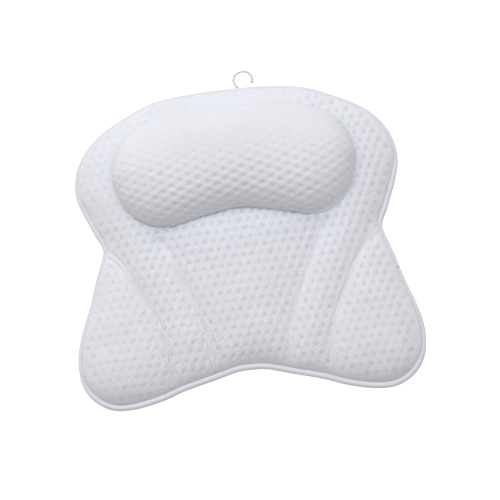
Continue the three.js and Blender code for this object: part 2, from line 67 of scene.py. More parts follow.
# Outline and seams, as shares of the stitched half width and half length
OUTLINE_SHARES = [
    (0, 1), (0.406, 0.975), (0.638, 0.881), (0.782, 0.792), (0.874, 0.697), (0.936, 0.566), (0.942, 0.401),
    (0.858, 0.158), (0.825, 0.085), (0.811, 0), (0.864, -0.172), (0.916, -0.36), (0.967, -0.513),
    (1, -0.662), (0.994, -0.814), (0.941, -0.924), (0.842, -0.993), (0.72, -1), (0.563, -0.965),
    (0.417, -0.91), (0.256, -0.864), (0.1, -0.818), (0, -0.809),
]
HEAD_CORNER_SHARE = 0.79
FOOT_CORNER_SHARE = -0.94
INNER_SEAM_SHARES = [(0.25, -0.6), (0.29, -0.47), (0.345, -0.32), (0.4, -0.18), (0.485, 0.03)]
INNER_RUN_ON_SHARES = [(0.49, 0.29), (0.43, 0.64)]
INNER_END_SHARES = (0.223, 0.36)
OUTER_SEAM_SHARES = [(0.486, -0.71), (0.523, -0.545), (0.58, -0.395), (0.66, -0.23)]
OUTER_WAIST_SHARES = [(0.725, -0.11), (0.808, 0)]
OUTER_RUN_ON_SHARES = [(0.725, -0.07), (0.74, 0.086), (0.78, 0.286), (0.8, 0.486), (0.73, 0.686)]
OUTER_END_SHARES = (0.47, 0.6)
OUTLINE_STEPS = 10
DIVIDING_STEPS = 16
SEWN_STEPS = 8
SIDE_POINTS = 200

# Points on the pad's cloths: columns of a lobe, a channel and the centre, rows, and how much they crowd
FRONT_GRID = ((44, 40, 72), 240, 0.25)
BACK_GRID = ((28, 28, 48), 160, 0.25)
STUFFING_GRID = ((10, 8, 12), 32, 0.5)
STUFFING_ROWS = (2, 20, 30)  # foot, where the channels end, head
STUFFING_MARGIN = 2  # columns left free at either side
COARSE = 4  # a cloth's inner face has every so many-th point of its outer face

# Roll
ROLL_LENGTH = 268 * MM
ROLL_DEPTH = 124 * MM
ROLL_HEIGHT = 52 * MM
ROLL_HEAD_MARGIN = 25.4 * MM
ROLL_END_ROUND = 52 * MM
ROLL_WIDEST_HEIGHT = 15 * MM
ROLL_THICKNESS = 3 * MM
ROLL_TUCK = 7 * MM
ROLL_CURL = 5  # power of its foot's curl inwards
ROLL_FULLNESS = 2.3
ROLL_SEAT = 0.8 * MM
ROLL_PAIRS = 220
ROLL_STEPS = 60
ROLL_TUCK_STEPS = 14
ROLL_INNER_TUCK_STEPS = 4
ROLL_OUTLINE_STEPS = 24
RIDGE_STRETCH = 1.01
RIDGE_RINGS = 3
ROLL_LOWER_SHARES = [(0, -0.78), (0.28, -0.873), (0.57, -1), (0.78, -0.893), (0.925, -0.598), (0.99, -0.223)]
ROLL_UPPER_SHARES = [(1, 0.004), (0.955, 0.359), (0.836, 0.681), (0.634, 0.891), (0.336, 0.988), (0, 1)]
LIP_WIDTH = 3.4 * MM
LIP_SHOWN = 5 * MM  # added to its width at the right end
LIP_SHOWN_X = (0.25, 0.55)
LIP_SHOWN_Y = (0.5, 0)
LIP_SECTION = [(-0.3, 0.2), (0, 0.9), (0.5, 1.1), (0.9, 1.0), (1, 0.6), (0.97, 0.1), (0, 0.1)]  # share, mm

# How the pad lies. A pair of shares is a ramp, from none to all of a change.
HEAD_TWIST = 0.02
HEAD_TWIST_Y = (-0.05, 0.55)
HEAD_LIFT = 1.5 * MM
HEAD_LIFT_X = (0.5, 0.1)
HEAD_LIFT_Y = (0.7, 0.95)
EDGE_BULGE = 3.4 * MM
BULGE_START = 1.2 * MM
BULGE_END = (1.5 * MM, 10.5 * MM)
BULGE_WAY = (-1, 0.1)

# Seams and folds. A pair for the sides is the left one's value, then the right one's.
SEAM_SOFTNESS = 1.3 * MM
RIGHT_SOFTNESS = 1.7 * MM
RIGHT_SOFTNESS_X = (0, 0.3)
SEAM_APART = 0.4  # keeps the outer seam's texture away from the inner one's
SEAM_END = (-6 * MM, 18 * MM)
SEAM_FOOT_GAIN = 0.9
SEAM_FOOT_Y = (-0.33, -0.63)
SEAM_RIDGE = 0.7 * MM
RIDGE_SIDES = (1.2, 0.2)
RIDGE_EDGE = 4 * MM
GATHER_SIDES = (1.3, 0.3)
GATHER_EDGE = 3 * MM
GATHER_REACH = 7 * MM
GATHER_WIDTH = 2 * MM
GATHER_LENGTH = 22 * MM
GATHER_CREST = (0.45, 0.75)
CREASE_HEIGHT = 0.5 * MM
CREASE_SIZE = (3.5 * MM, 24 * MM)
CREASE_REACH = 9 * MM
CREASE_EDGE = 5 * MM
SAG_HEIGHT = 0.5 * MM
SAG_SIZE = 23 * MM
ROLL_SAG_SIZE = 26 * MM
PUCKER_HEIGHT = 0.5 * MM
PUCKER_SIZE = 6 * MM
HEM_REACH = 9 * MM
# Painted shade in the crease where the roll is sewn on: its reach on the pad under the roll, and its height
# up the roll's foot
FOLD_SHADE_REACH = 12 * MM
FOLD_SHADE_HEIGHT = 6 * MM
BACK_CREASE_HEIGHT = 0.25 * MM
BACK_GATHER = 0.5

# Pits of the air mesh
PIT_ALONG = 10.1 * MM
PIT_ACROSS = 9.8 * MM
PIT_LEAN = math.radians(2.6)
PIT_RADIUS = 1.5 * MM
PIT_STRETCH = 1.2
PIT_UNEVENNESS = 0.2
PIT_SCATTER = (12.9898, 78.233)
PIT_MOST = 1.2
PIT_DEPTH = 1.0 * MM
PIT_EDGE = 7 * MM
PIT_SEAM = 6 * MM
PIT_ON_SEAM = 0.25
BUMP_SHARE = 0.4
DASH_LEAN = math.radians(38)
DASH_TURN = math.radians(45)
DASH_TURN_X = (-0.1, 0.25)
BACK_PIT_DEPTH = 0.8 * MM
ROLL_PIT_DEPTH = 0.95 * MM
ROLL_PIT = (1.35 * MM, 1.55)  # radius and stretch
ROLL_BUMP = (1.5 * MM, 1.6)
ROLL_DASH_LEAN = math.radians(8)
ROLL_PIT_HEM = 4 * MM

# Where the pits of the front are fainter or deeper: ramps in X and Y shares, on both sides or not, and gain
PIT_ZONES = [
    ((-0.35, -0.75), (0, 0.4), False, -0.45),  # left of the roll
    ((0.62, 0.82), (0, -0.3), True, -0.3),  # lobes
    ((0.65, 0.35), (0.8, 0.88), False, -0.8),  # taut head strip
    ((0.62, 0.52), (-0.3, -0.05), True, 0.35),  # below the roll
    ((0.6, 0.75), (-0.05, -0.25), False, 0.4),  # right lobe
]

# Pits of the roll: faint on its taut top, deep on its foot side and on the lower wall of its head side
ROLL_TOP_PITS = 0.2
ROLL_TOP_Y = (27 * MM, -28 * MM)
ROLL_END_LOSS = 0.35
ROLL_END_X = (0.26, 0.38)
ROLL_WALL_PITS = 0.8
ROLL_WALL_Y = 20 * MM
ROLL_WALL_TILT = (0.72, 0.37)

# Cloth simulation of the front panel
CLOTH_PRESSURE = 4.0
CLOTH_FRAMES = 20
CLOTH_CAP = 5 * MM
CLOTH_HELD = 1 * MM

# Stitches
STITCH_LENGTH = 2.8 * MM
STITCH_PAUSE = 0.8 * MM
STITCH_BOW = (-0.9, 0.5, 0.8, 0.5, -0.9)  # heights of its points, in radii of the thread
THREAD_RADIUS = 0.28 * MM
THREAD_SIDES = 5
THREAD_SEAT = 0.1 * MM
LIP_THREAD_SEAT = 0.2 * MM
QUILTING_POINTS = 60
QUILTING_START = 2  # point of a seam where its stitches start, just inside the foot edge

# Piping
PIPING_POINTS = 1000
PIPING_OFFSET = PIPING_DIAMETER / 2 + 0.2 * MM
PIPING_JOINT_SHARE = -0.269
PIPING_JOINT_GAP = 0.5 * MM
PIPING_WAVE = 0.18 * MM
PIPING_WAVE_POINTS = 9
PIPING_ROUND = np.radians(np.arange(-120, 121, 15))
PIPING_SEAM_HALF = 2.2 * MM
PIPING_SINK = 0.1 * MM
CORE_RADIUS = 1.5 * MM
CORE_SIDES = 12
CORE_STRANDS = 3
CORE_STRAND_DEPTH = 0.12
CORE_TURN = 9 * MM

# Stuffing
STUFFING_ROOM = 0.6 * MM
STUFFING_UNEVENNESS = 0.5 * MM
STUFFING_GRAIN = 7 * MM
STUFFING_SHRINK = 0.985
ROLL_STUFFING_PAIRS = 40
ROLL_STUFFING_STEPS = 16
ROLL_STUFFING_BED = (0.6, 0.3, 0.0)
ROLL_STUFFING_INSET = 3.7 * MM
ROLL_STUFFING_SEAT = ROLL_SEAT + 0.7 * MM
ROLL_STUFFING_UNEVENNESS = 0.6 * MM
ROLL_STUFFING_GRAIN = 8 * MM

# Suction cup, as (radius, height) in mm, and its strap, as (place along it, height) in mm
CUP_UNDERSIDE = [(0, 7), (8, 6.8), (14.5, 5.9), (20.5, 3.9), (25, 1.6), (27.4, 0.25), (29, 0.0)]
CUP_LIP = [(29, 0), (29.8, 0.1), (30, 0.4), (29.8, 0.75), (29, 0.9)]
CUP_BELL = [
    (29, 0.9), (26.5, 1.8), (23, 4.2), (18.5, 7.3), (13, 9.9), (8, 11.3), (5, 11.9), (4, 12.6), (4, 13.6),
]
CUP_HEAD = [
    (4, 13.6), (4.4, 13.85), (6.4, 13.85), (7, 14.3), (7, 16.4), (6.5, 17.3), (5.5, 17.75), (0, 17.8),
]
CUP_SEGMENTS = 96
CUP_STEPS = 4  # between two points of its profile
TAPE_STEPS = 6  # between two points of a strap's or the ribbon's line
STRAP_LINE = [(-28, 17.2), (-22, 17.2), (-16.6, 17.1), (-13.5, 15.9), (-11, 13.5), (-8.6, 12.95), (0, 12.9)]
STRAP_SIZE = (22 * MM, 1.2 * MM)
STRAP_HEIGHT = 12.9 * MM
STRAP_BOX = (8.5 * MM, 17.2 * MM, 26.4 * MM, 16.6 * MM)  # half width, near and far end, height
STRAP_STITCH = (1.9 * MM, 0.5 * MM)
HOLE_RADIUS = 4.3 * MM
HOLE_SIDES = 40
DRILL_DEPTH = 6 * MM
HOLE_STITCHES = 44
HOLE_STITCH_REACH = (-0.05 * MM, 0.6 * MM, 1.3 * MM, 1.9 * MM)
HOLE_STITCH_LIFT = (-0.3 * MM, 0.25 * MM, 0.25 * MM, -0.3 * MM)
HOLE_THREAD_RADIUS = 0.22 * MM
HOLE_THREAD_SIDES = 6

# Ribbon loop, as (place towards the head, height) in mm from the hook's axis, and the hook
RIBBON_LINE = [
    (-16, 10.7), (-8, 10.7), (-2, 10.7), (0.7, 10.55), (1.5, 9.4), (1.2, 7.6), (2.0, 5), (3.1, 2), (3.3, 0),
    (2.4, -2.3), (0, -3.3), (-2.4, -2.3), (-3.3, 0), (-3.1, 2), (-2.0, 5), (-1.1, 7.2), (-1.5, 9.0),
    (-3, 9.5), (-8, 9.5), (-16, 9.5),
]
RIBBON_SIZE = (8 * MM, 1.1 * MM)
RIBBON_BOX = (2.9 * MM, -4.8 * MM, -14.4 * MM, 8.9 * MM)
RIBBON_STITCH = (1.7 * MM, 0.4 * MM)
HOOK_RADII = (8.6 * MM, 10.65 * MM)
HOOK_LEAN = 1.5 * MM
HOOK_SPACING = 24 * MM
HOOK_TIPS = (168, -20)
HOOK_TIP_STRETCH = 1.2
HOOK_ARC_POINTS = 40
HOOK_POINTS = 260
HOOK_SIDES = 20
WIRE_RADIUS = 1.3 * MM
BALL_RADIUS = 1.7 * MM
BALL_POLE = 0.02 * MM

# Band edges, welding and noise
BAND_ROUND_POINTS = 6
WELD_REACH = 0.02 * MM
NOISE_SIZE = 64
LEFT_SHIFT = 40  # steps between the noise of the left seams and that of the right ones
SEEDS = {
    "inner_seam": 3, "outer_seam": 7, "sag": 11, "roll_sag": 13, "pucker": 5, "piping": 17, "stuffing": 23,
    "roll_stuffing": 29,
}

# Colours and textures. A noise is its scale and detail; a tone is how dark and light it makes a colour.
# The second colour of each pair is for the pits: the deeper layer seen through them, and painted shade in
# them
MESH_COLOURS = ((0.788, 0.797, 0.848), (0.678, 0.687, 0.738))  # cloth, then pits
BACK_COLOURS = ((0.78, 0.78, 0.84), (0.64, 0.64, 0.7))
# Painted shade: the darker colour in the crease where the roll is sewn on
FOLD_SHADE_COLOUR = (0.46, 0.46, 0.49)
# Painted highlight on the crests of the gathers beside the seams
GATHER_HIGHLIGHT_COLOUR = (0.93, 0.93, 0.96)
PIPING_COLOUR = (0.756, 0.763, 0.81)
THREAD_COLOUR = (0.83, 0.83, 0.87)
STUFFING_COLOUR = (0.85, 0.85, 0.84)
WEBBING_COLOUR = (0.8, 0.8, 0.84)
VINYL_COLOURS = ((0.86, 0.91, 0.93), (0.93, 0.96, 0.97))
STEEL_COLOURS = ((0.33, 0.34, 0.35), (0.46, 0.47, 0.48))
RIB_STRETCH = (1, 0.15, 1)
RIB_NOISE, RIB_TONE, RIB_RELIEF = (560, 2), (0.97, 1.03), 0.8
SPECK_NOISE, SPECK_TONE = (420, 2), (0.955, 1.045)
CLOUD_NOISE, CLOUD_TONE = (30, 3), (0.965, 1.03)
GRAIN_NOISE = (900, 3)
KNIT_SCALE, KNIT_TONE, KNIT_RELIEF = 750, (1.05, 0.95), -1.0
GATHER_RELIEF = 6
WEAVE_TONE = (1.03, 0.93)
CLOTH_CLOUD_NOISE, CLOTH_CLOUD_TONE = (60, 2), (0.97, 1.03)
WARP_SCALE, WEFT_SCALE, WOVEN_TONE = 190, 260, (0.86, 1.04)
FLOW_NOISE = (45, 2)
DRAWN_NOISE = (900, 2)

# The photograph's view
FRAME_PX = 500
MM_PER_PX = 1.105
PAD_MIDDLE_PX = (242.6, 242.0)
CAMERA_TILT = math.radians(12)
CAMERA_SIDE = math.radians(2.6)
CAMERA_TURN = math.radians(5.3)
CAMERA_DISTANCE = 2.2
CAMERA_REACH = 20
SENSOR = 36.0

# Light: each lamp's place, size, power and whether it casts a shadow
WORLD_LIGHT = 0.33
LAMP_AIM = (0, 0, 0.03)
LAMPS = {
    "key": ((-0.3, 1.7, 1.5), 0.8, 19.5, False),
    "top": ((0, 0, 1.5), 1.2, 6.85, True),
    "fill": ((-1.6, 0.3, 0.9), 0.8, 3.8, False),
    "side": ((1.7, 0, 0.7), 0.8, 2.4, False),
}
FLOOR_COLOUR = (0.9, 0.9, 0.9)
FLOOR_GLOW = 0.36  # at the middle
FAR_GLOW = 0.9  # a metre away
FLOOR_REACH = 1.3


def box_middle(node):
    low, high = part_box(node)
    return (np.array(low) + np.array(high)) / 2


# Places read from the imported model
SEAM_HEIGHT = box_middle("edge_piping")[2]
PAD_Y = box_middle("suction_cup_head_left")[1] - CUP_SHARES["head"][1] * HALF_LENGTH
FRONT_BASE = SEAM_HEIGHT + GAP / 2
BACK_BASE = SEAM_HEIGHT - GAP / 2
PAD_TOP = FRONT_BASE + FRONT_THICKNESS + FRONT[0]
ROLL_MIDDLE = PAD_Y + HALF_LENGTH - ROLL_HEAD_MARGIN - ROLL_DEPTH / 2
JOINTS = {joint["name"]: joint for joint in frame["record"]["behaviour"]["joints"]}
HOOK_AXIS = np.array(JOINTS["hook_swing"]["pos_m"])


def smooth(share):
    share = np.clip(share, 0, 1)
    return share * share * (3 - 2 * share)


def ramp(value, start, end):
    """0 up to the start, 1 from the end on, smooth between them; the end may be the lower one."""
    return smooth((value - start) / (end - start))


def quarter_round(share):
    return np.sqrt(np.clip(1 - (1 - np.clip(share, 0, 1)) ** 2, 0, 1))


def unit(vectors):
    return vectors / np.linalg.norm(vectors, axis=-1, keepdims=True)


def catmull(points, closed, per_span):
    """A smooth line through points, with per_span steps between two of them."""
    points = np.asarray(points, float)
    count = len(points)
    index = np.arange(count if closed else count - 1)

    def at(k):
        return points[(index + k) % count if closed else np.clip(index + k, 0, count - 1)][:, None]

    p0, p1, p2, p3 = (at(k) for k in (-1, 0, 1, 2))
    t = (np.arange(per_span) / per_span)[None, :, None]
    line = 2 * p1 + (p2 - p0) * t + (2 * p0 - 5 * p1 + 4 * p2 - p3) * t**2
    line = 0.5 * (line + (3 * p1 - p0 - 3 * p2 + p3) * t**3).reshape(-1, points.shape[1])
    return np.vstack([line, line[:1] if closed else points[-1:]])


def plan_points(shares):
    return np.array(shares, float) * (HALF_WIDTH, HALF_LENGTH) + (0, PAD_Y)


def plan_shares(points):
    return points[:, 0] / HALF_WIDTH, (points[:, 1] - PAD_Y) / HALF_LENGTH


def roll_points(shares):
    return np.array(shares, float) * (ROLL_LENGTH / 2, ROLL_DEPTH / 2) + (0, ROLL_MIDDLE)


def closed_outline(half, per_span):
    mirror = half[half[:, 0] > 0][::-1] * (-1, 1)
    return catmull(np.vstack([half, mirror]), True, per_span)


def crossing(line, axis, at, way):
    """Where a line crosses a value on one axis: the farthest crossing on the other axis, either way."""
    a, b = line[:-1], line[1:]
    level = b[:, axis] == a[:, axis]
    share = (at - a[:, axis]) / np.where(level, 1, b[:, axis] - a[:, axis])
    hit = (share >= 0) & (share <= 1) & ~level
    other = a[:, 1 - axis] + share * (b[:, 1 - axis] - a[:, 1 - axis])
    return way * np.max(way * other[hit])


outline = closed_outline(plan_points(OUTLINE_SHARES), OUTLINE_STEPS)
roll_outline = closed_outline(roll_points(ROLL_LOWER_SHARES + ROLL_UPPER_SHARES), ROLL_OUTLINE_STEPS)


def foot_edge(x):
    return crossing(outline, 0, x, -1)


def head_edge(x):
    return crossing(outline, 0, x, 1)


def dividing_line(ends, middle):
    foot_x, head_x = (share * HALF_WIDTH for share in ends)
    points = [(foot_x, foot_edge(foot_x)), *plan_points(middle), (head_x, head_edge(head_x))]
    return catmull(points, False, DIVIDING_STEPS)


def sewn_line(foot_share, middle):
    foot_x = foot_share * HALF_WIDTH
    return catmull([(foot_x, foot_edge(foot_x)), *plan_points(middle)], False, SEWN_STEPS)


def side_line():
    foot, head = plan_points([(0, FOOT_CORNER_SHARE), (0, HEAD_CORNER_SHARE)])[:, 1]
    return np.array([(crossing(outline, 1, y, 1), y) for y in np.linspace(foot, head, SIDE_POINTS)])


inner_line = dividing_line(INNER_END_SHARES, INNER_SEAM_SHARES + INNER_RUN_ON_SHARES)
outer_line = dividing_line(OUTER_END_SHARES, OUTER_SEAM_SHARES + OUTER_RUN_ON_SHARES)
right_side = side_line()
inner_seam = sewn_line(INNER_END_SHARES[0], INNER_SEAM_SHARES)
outer_seam = sewn_line(OUTER_END_SHARES[0], OUTER_SEAM_SHARES + OUTER_WAIST_SHARES)


def line_length(line):
    return float(np.linalg.norm(np.diff(line, axis=0), axis=1).sum())


def lengths_along(line):
    return np.concatenate([[0], np.cumsum(np.linalg.norm(np.diff(line, axis=0), axis=1))])


def resample(line, count):
    """A line with count points, evenly spaced along it."""
    line = np.asarray(line, float)
    length = lengths_along(line)
    at = np.linspace(0, length[-1], count)
    return np.column_stack([np.interp(at, length, column) for column in line.T])


def distance_to(points, line):
    """Distance of each point of the plan to a line, and how far along the line its nearest place is."""
    least = np.full(len(points), np.inf)
    along = np.zeros(len(points))
    done = 0.0
    for a, b in zip(line[:-1], line[1:]):
        d = b - a
        length = math.hypot(*d)
        if length == 0:
            continue
        t = np.clip(((points - a) @ d) / length**2, 0, 1)
        gap = np.hypot(*(points - a - t[:, None] * d).T)
        near = gap < least
        least = np.where(near, gap, least)
        along = np.where(near, done + t * length, along)
        done += length
    return least, along


def right_half(points):
    """Points of the plan, with those on the left mirrored to the right."""
    return np.column_stack([np.abs(points[:, 0]), points[:, 1]])


def inside_roll(points):
    """1 for each point of the plan under the roll, else 0."""
    x, y = points.T
    inside = np.zeros(len(points), bool)
    for (ax, ay), (bx, by) in zip(roll_outline[:-1], roll_outline[1:]):
        crosses = (ay > y) != (by > y)
        reach = ax + (y - ay) * (bx - ax) / (by - ay if by != ay else 1)
        inside ^= crosses & (x < reach)
    return inside.astype(float)


def rise(points, crown, rounding, seam_share):
    """A panel's height off the edge seam at points of the plan, and their distances to edge and seams."""
    half = right_half(points)
    edge = distance_to(half, outline)[0]
    seam = np.minimum(distance_to(half, inner_seam)[0], distance_to(half, outer_seam)[0])
    softness = SEAM_SOFTNESS + RIGHT_SOFTNESS * ramp(plan_shares(points)[0], *RIGHT_SOFTNESS_X)
    beside_seam = quarter_round(np.hypot(seam, softness) / rounding)
    height = crown * quarter_round(edge / rounding)
    return height * (seam_share + (1 - seam_share) * beside_seam), edge, seam


def ground_under(plan, lift):
    return FRONT_BASE + FRONT_THICKNESS + rise(plan, *FRONT)[0] + lift


def outward(points):
    """The outline's outward direction at its place nearest to each point of the plan."""
    along = distance_to(right_half(points), outline)[1]
    tangent = unit(np.gradient(outline, axis=0))
    place = lengths_along(outline)
    x, y = np.interp(along, place, -tangent[:, 1]), np.interp(along, place, tangent[:, 0])
    return np.column_stack([np.sign(points[:, 0]) * x, y])


def bulge(points, edge):
    """The stuffed cloth stands out over the piping at the head edge and the sides, hardly at the foot."""
    way = outward(points)
    amount = smooth(edge / BULGE_START) * (1 - ramp(edge, *BULGE_END))
    return EDGE_BULGE * (amount * ramp(way[:, 1], *BULGE_WAY))[:, None] * way


def twisted(points):
    """The pad's head part lies turned a little against its foot part, as a soft pad does."""
    points = np.array(points, float)
    x, y = points[..., 0], points[..., 1] - PAD_Y
    turn = HEAD_TWIST * ramp(y / HALF_LENGTH, *HEAD_TWIST_Y)
    lift = HEAD_LIFT * ramp(y / HALF_LENGTH, *HEAD_LIFT_Y) * ramp(x / HALF_WIDTH, *HEAD_LIFT_X)
    points[..., 0] = x - turn * y
    points[..., 1] = y + turn * x + lift + PAD_Y
    return points


def crowded(count, pull):
    """Shares from 0 to 1 that lie closer together near both ends."""
    even = np.linspace(0, 1, count + 1)
    return even + pull * (0.5 - 0.5 * np.cos(np.pi * even) - even)


def on_line(line, share):
    """Points at shares of a line's height."""
    ys = line[0, 1] + share * (line[-1, 1] - line[0, 1])
    order = np.argsort(line[:, 1])
    return np.stack([np.interp(ys, line[order, 1], line[order, 0]), ys], axis=-1)


def pad_plan(columns, rows, pull):
    """Rows of plan points from the foot edge to the head edge; columns are per lobe, channel and centre."""
    lobe, channel, centre = columns
    right_lines = [right_side, outer_line, inner_line]
    lines = [line * (-1, 1) for line in right_lines] + right_lines[::-1]
    along = crowded(rows, pull)[:, None]
    strips = []
    for left, right, count in zip(lines[:-1], lines[1:], (lobe, channel, centre, channel, lobe)):
        across = crowded(count, pull)[min(len(strips), 1):][None, :, None]
        point = on_line(left, along) + across * (on_line(right, along) - on_line(left, along))
        for end, edge, weight in ((0.0, foot_edge, 1 - along), (1.0, head_edge, along)):
            a, b = (on_line(line, np.array([[end]])) for line in (left, right))
            chord = (a + across * (b - a))[0]
            lift = np.array([edge(abs(x)) for x in chord[:, 0]]) - chord[:, 1]
            point[..., 1] += weight * lift[None, :]
        strips.append(point)
    return np.concatenate(strips, axis=1)


def pits(points, lean, dash, radius=PIT_RADIUS, stretch=PIT_STRETCH):
    """Depth of the air mesh's staggered pits at flat points of the cloth; each is a short dash."""
    turn = np.array([[math.cos(lean), math.sin(lean)], [-math.sin(lean), math.cos(lean)]])
    u, v = turn @ points.T
    depth = np.zeros(len(points))
    for step in (-1, 0, 1):
        row = np.round(v / PIT_ACROSS) + step
        shift = 0.5 * (row % 2)
        column = np.round(u / PIT_ALONG - shift) + shift
        uneven = 1 + PIT_UNEVENNESS * np.sin(PIT_SCATTER[0] * row + PIT_SCATTER[1] * column)
        du, dv = u - column * PIT_ALONG, v - row * PIT_ACROSS
        long = du * np.cos(dash - lean) + dv * np.sin(dash - lean)
        short = dv * np.cos(dash - lean) - du * np.sin(dash - lean)
        depth += uneven * np.exp(-((long / stretch) ** 2 + short**2) / (2 * radius**2))
    return np.clip(depth, 0, PIT_MOST)


def noise(u, v, seed):
    """Smooth noise from -1 to 1 over a plane, with one random value for each whole step of u and v."""
    lattice = np.random.default_rng(seed).uniform(-1, 1, (NOISE_SIZE, NOISE_SIZE))
    i, j = np.floor(u).astype(int), np.floor(v).astype(int)
    s, t = smooth(u - i), smooth(v - j)

    def at(a, b):
        return lattice[(i + a) % NOISE_SIZE, (j + b) % NOISE_SIZE]

    low = at(0, 0) + s * (at(1, 0) - at(0, 0))
    high = at(0, 1) + s * (at(1, 1) - at(0, 1))
    return low + t * (high - low)


def scene_object(name, data):
    made = bpy.data.objects.new(name, data)
    bpy.context.scene.collection.objects.link(made)
    return made


def mesh_object(name, vertices, faces):
    mesh = bpy.data.meshes.new(name)
    mesh.from_pydata(np.asarray(vertices).tolist(), [], faces)
    mesh.update()
    return scene_object(name, mesh)


def new_object(name, vertices, faces, material, body, slot):
    piece = mesh_object(name, vertices, faces)
    piece.data.polygons.foreach_set("use_smooth", [True] * len(piece.data.polygons))
    piece.data.materials.append(material)
    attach(piece, body)
    return piece


def add_attributes(piece, **attributes):
    """Values of a piece's first vertices, one number or a vector each; the rest of its vertices get zero."""
    for name, values in attributes.items():
        full = np.zeros((len(piece.data.vertices), *values.shape[1:]), np.float32)
        full[:len(values)] = values
        vector = values.ndim > 1
        attribute = piece.data.attributes.new(name, "FLOAT_VECTOR" if vector else "FLOAT", "POINT")
        attribute.data.foreach_set("vector" if vector else "value", full.ravel())


def weld(piece):
    work = bmesh.new()
    work.from_mesh(piece.data)
    bmesh.ops.remove_doubles(work, verts=work.verts, dist=WELD_REACH)
    work.to_mesh(piece.data)
    work.free()
    piece.data.update()


def quads(a, b, c, d, flip=False):
    """Faces from the indices of their four corners."""
    faces = np.stack([a, b, c, d], axis=-1).reshape(-1, 4)
    return (faces[:, ::-1] if flip else faces).tolist()


def grid_faces(rows, columns, offset=0, flip=False):
    index = np.arange(rows * columns).reshape(rows, columns) + offset
    return quads(index[:-1, :-1], index[:-1, 1:], index[1:, 1:], index[1:, :-1], flip)


def ring_faces(rings, spokes, offset=0, flip=False):
    index = np.arange(rings * spokes).reshape(rings, spokes) + offset
    following = np.roll(index, -1, axis=1)
    return quads(index[:-1], index[1:], following[1:], following[:-1], flip)


def border(rows, columns):
    """Indices round a grid's border, counter-clockwise."""
    index = np.arange(rows * columns).reshape(rows, columns)
    return np.concatenate([index[0, :-1], index[:-1, -1], index[-1, :0:-1], index[:0:-1, 0]])


def bridge(fine, sparse, coarse, flip):
    """Faces between a loop of points and a loop with every coarse-th one of them."""
    faces = []
    for k in range(len(sparse)):
        run = [int(fine[(k * coarse + i) % len(fine)]) for i in range(coarse + 1)]
        face = [*run[::-1], int(sparse[k]), int(sparse[(k + 1) % len(sparse)])]
        faces.append(face[::-1] if flip else face)
    return faces


def sheet_mesh(outer, inner, coarse, flip=False):
    """Vertices and faces of a closed cloth; its inner face has every coarse-th point of its outer face."""
    rows, columns = outer.shape[:2]
    fewer = inner[::coarse, ::coarse]
    vertices = np.vstack([outer.reshape(-1, 3), fewer.reshape(-1, 3)])
    faces = grid_faces(rows, columns, flip=flip)
    faces += grid_faces(*fewer.shape[:2], offset=rows * columns, flip=not flip)
    faces += bridge(border(rows, columns), border(*fewer.shape[:2]) + rows * columns, coarse, flip)
    return vertices, faces


def tube(path, section, side, rise_way):
    """A capped tube: the section, or one for each point of the path, is laid out along two directions."""
    rings = path[:, None] + section[..., :1] * side[:, None] + section[..., 1:] * rise_way[:, None]
    count = rings.shape[1]
    faces = ring_faces(len(path), count, flip=True)
    faces.append(list(range(count)))
    faces.append([int(i) for i in np.arange(count)[::-1] + (len(path) - 1) * count])
    return rings.reshape(-1, 3), faces


def sweep(path, section, up=(0, 0, 1)):
    """A tube whose section stands square to its path."""
    tangent = unit(np.gradient(path, axis=0))
    side = unit(np.cross(tangent, up))
    return tube(path, section, side, np.cross(side, tangent))


def band(line, width, thickness):
    """A flat tape across X, with round edges, along a line of (Y, Z) points."""
    radius = thickness / 2
    angle = np.linspace(-np.pi / 2, np.pi / 2, BAND_ROUND_POINTS)
    right = np.column_stack([width / 2 - radius + radius * np.cos(angle), radius * np.sin(angle)])
    path = np.column_stack([np.zeros(len(line)), line])
    side = np.array([(1.0, 0, 0)])
    normal = np.cross(side, unit(np.gradient(path, axis=0)))
    return tube(path, np.vstack([right, -right]), side, normal)


def round_section(radius, sides):
    """Points round a circle, for one radius or for several."""
    angle = np.arange(sides) * 2 * np.pi / sides
    return np.multiply.outer(radius, np.column_stack([np.cos(angle), np.sin(angle)]))


def lathe(profile, segments):
    """A turned body from a closed profile of (radius, height) that starts and ends on the axis."""
    inner = profile[1:-1]
    circle = round_section(inner[:, 0], segments)
    rings = np.concatenate([circle, np.repeat(inner[:, 1:], segments, axis=1)[..., None]], axis=-1)
    count = len(inner) * segments
    vertices = np.vstack([rings.reshape(-1, 3), [(0, 0, profile[0, 1]), (0, 0, profile[-1, 1])]])
    faces = ring_faces(len(inner), segments, flip=True)
    for i in range(segments):
        j = (i + 1) % segments
        faces += [[count, j, i], [count + 1, count - segments + i, count - segments + j]]
    return vertices, faces


def joined(parts):
    """One list of vertices and faces from several."""
    vertices, faces, count = [], [], 0
    for part_vertices, part_faces in parts:
        vertices.append(part_vertices)
        faces += [[i + count for i in face] for face in part_faces]
        count += len(part_vertices)
    return np.vstack(vertices), faces


def placed(part, place):
    vertices, faces = part
    return vertices + place, faces


def stitches(line, way, length=STITCH_LENGTH, pause=STITCH_PAUSE):
    """Threads along a line on a cloth that looks up, 1, or down, -1; each is bowed, its ends sunk in."""
    points = len(STITCH_BOW)
    count = max(int(line_length(line) / (length + pause)), 1)
    steps = resample(line, count * (points + 1) + 1)
    bow = np.outer(STITCH_BOW, (0, 0, way * THREAD_RADIUS))
    section = round_section(THREAD_RADIUS, THREAD_SIDES)
    starts = np.arange(count) * (points + 1)
    return joined([sweep(steps[k:k + points] + bow, section, (0, 0, way)) for k in starts])


def sewn_box(half_width, near, far, height, stitch):
    """Stitches round a box and across it, on a tape's underside."""
    a, b, c, d = (-half_width, near), (half_width, near), (half_width, far), (-half_width, far)
    runs = ((a, b), (b, c), (c, d), (d, a), (a, c), (b, d))
    return joined([stitches(np.column_stack([run, (height, height)]), -1, *stitch) for run in runs])


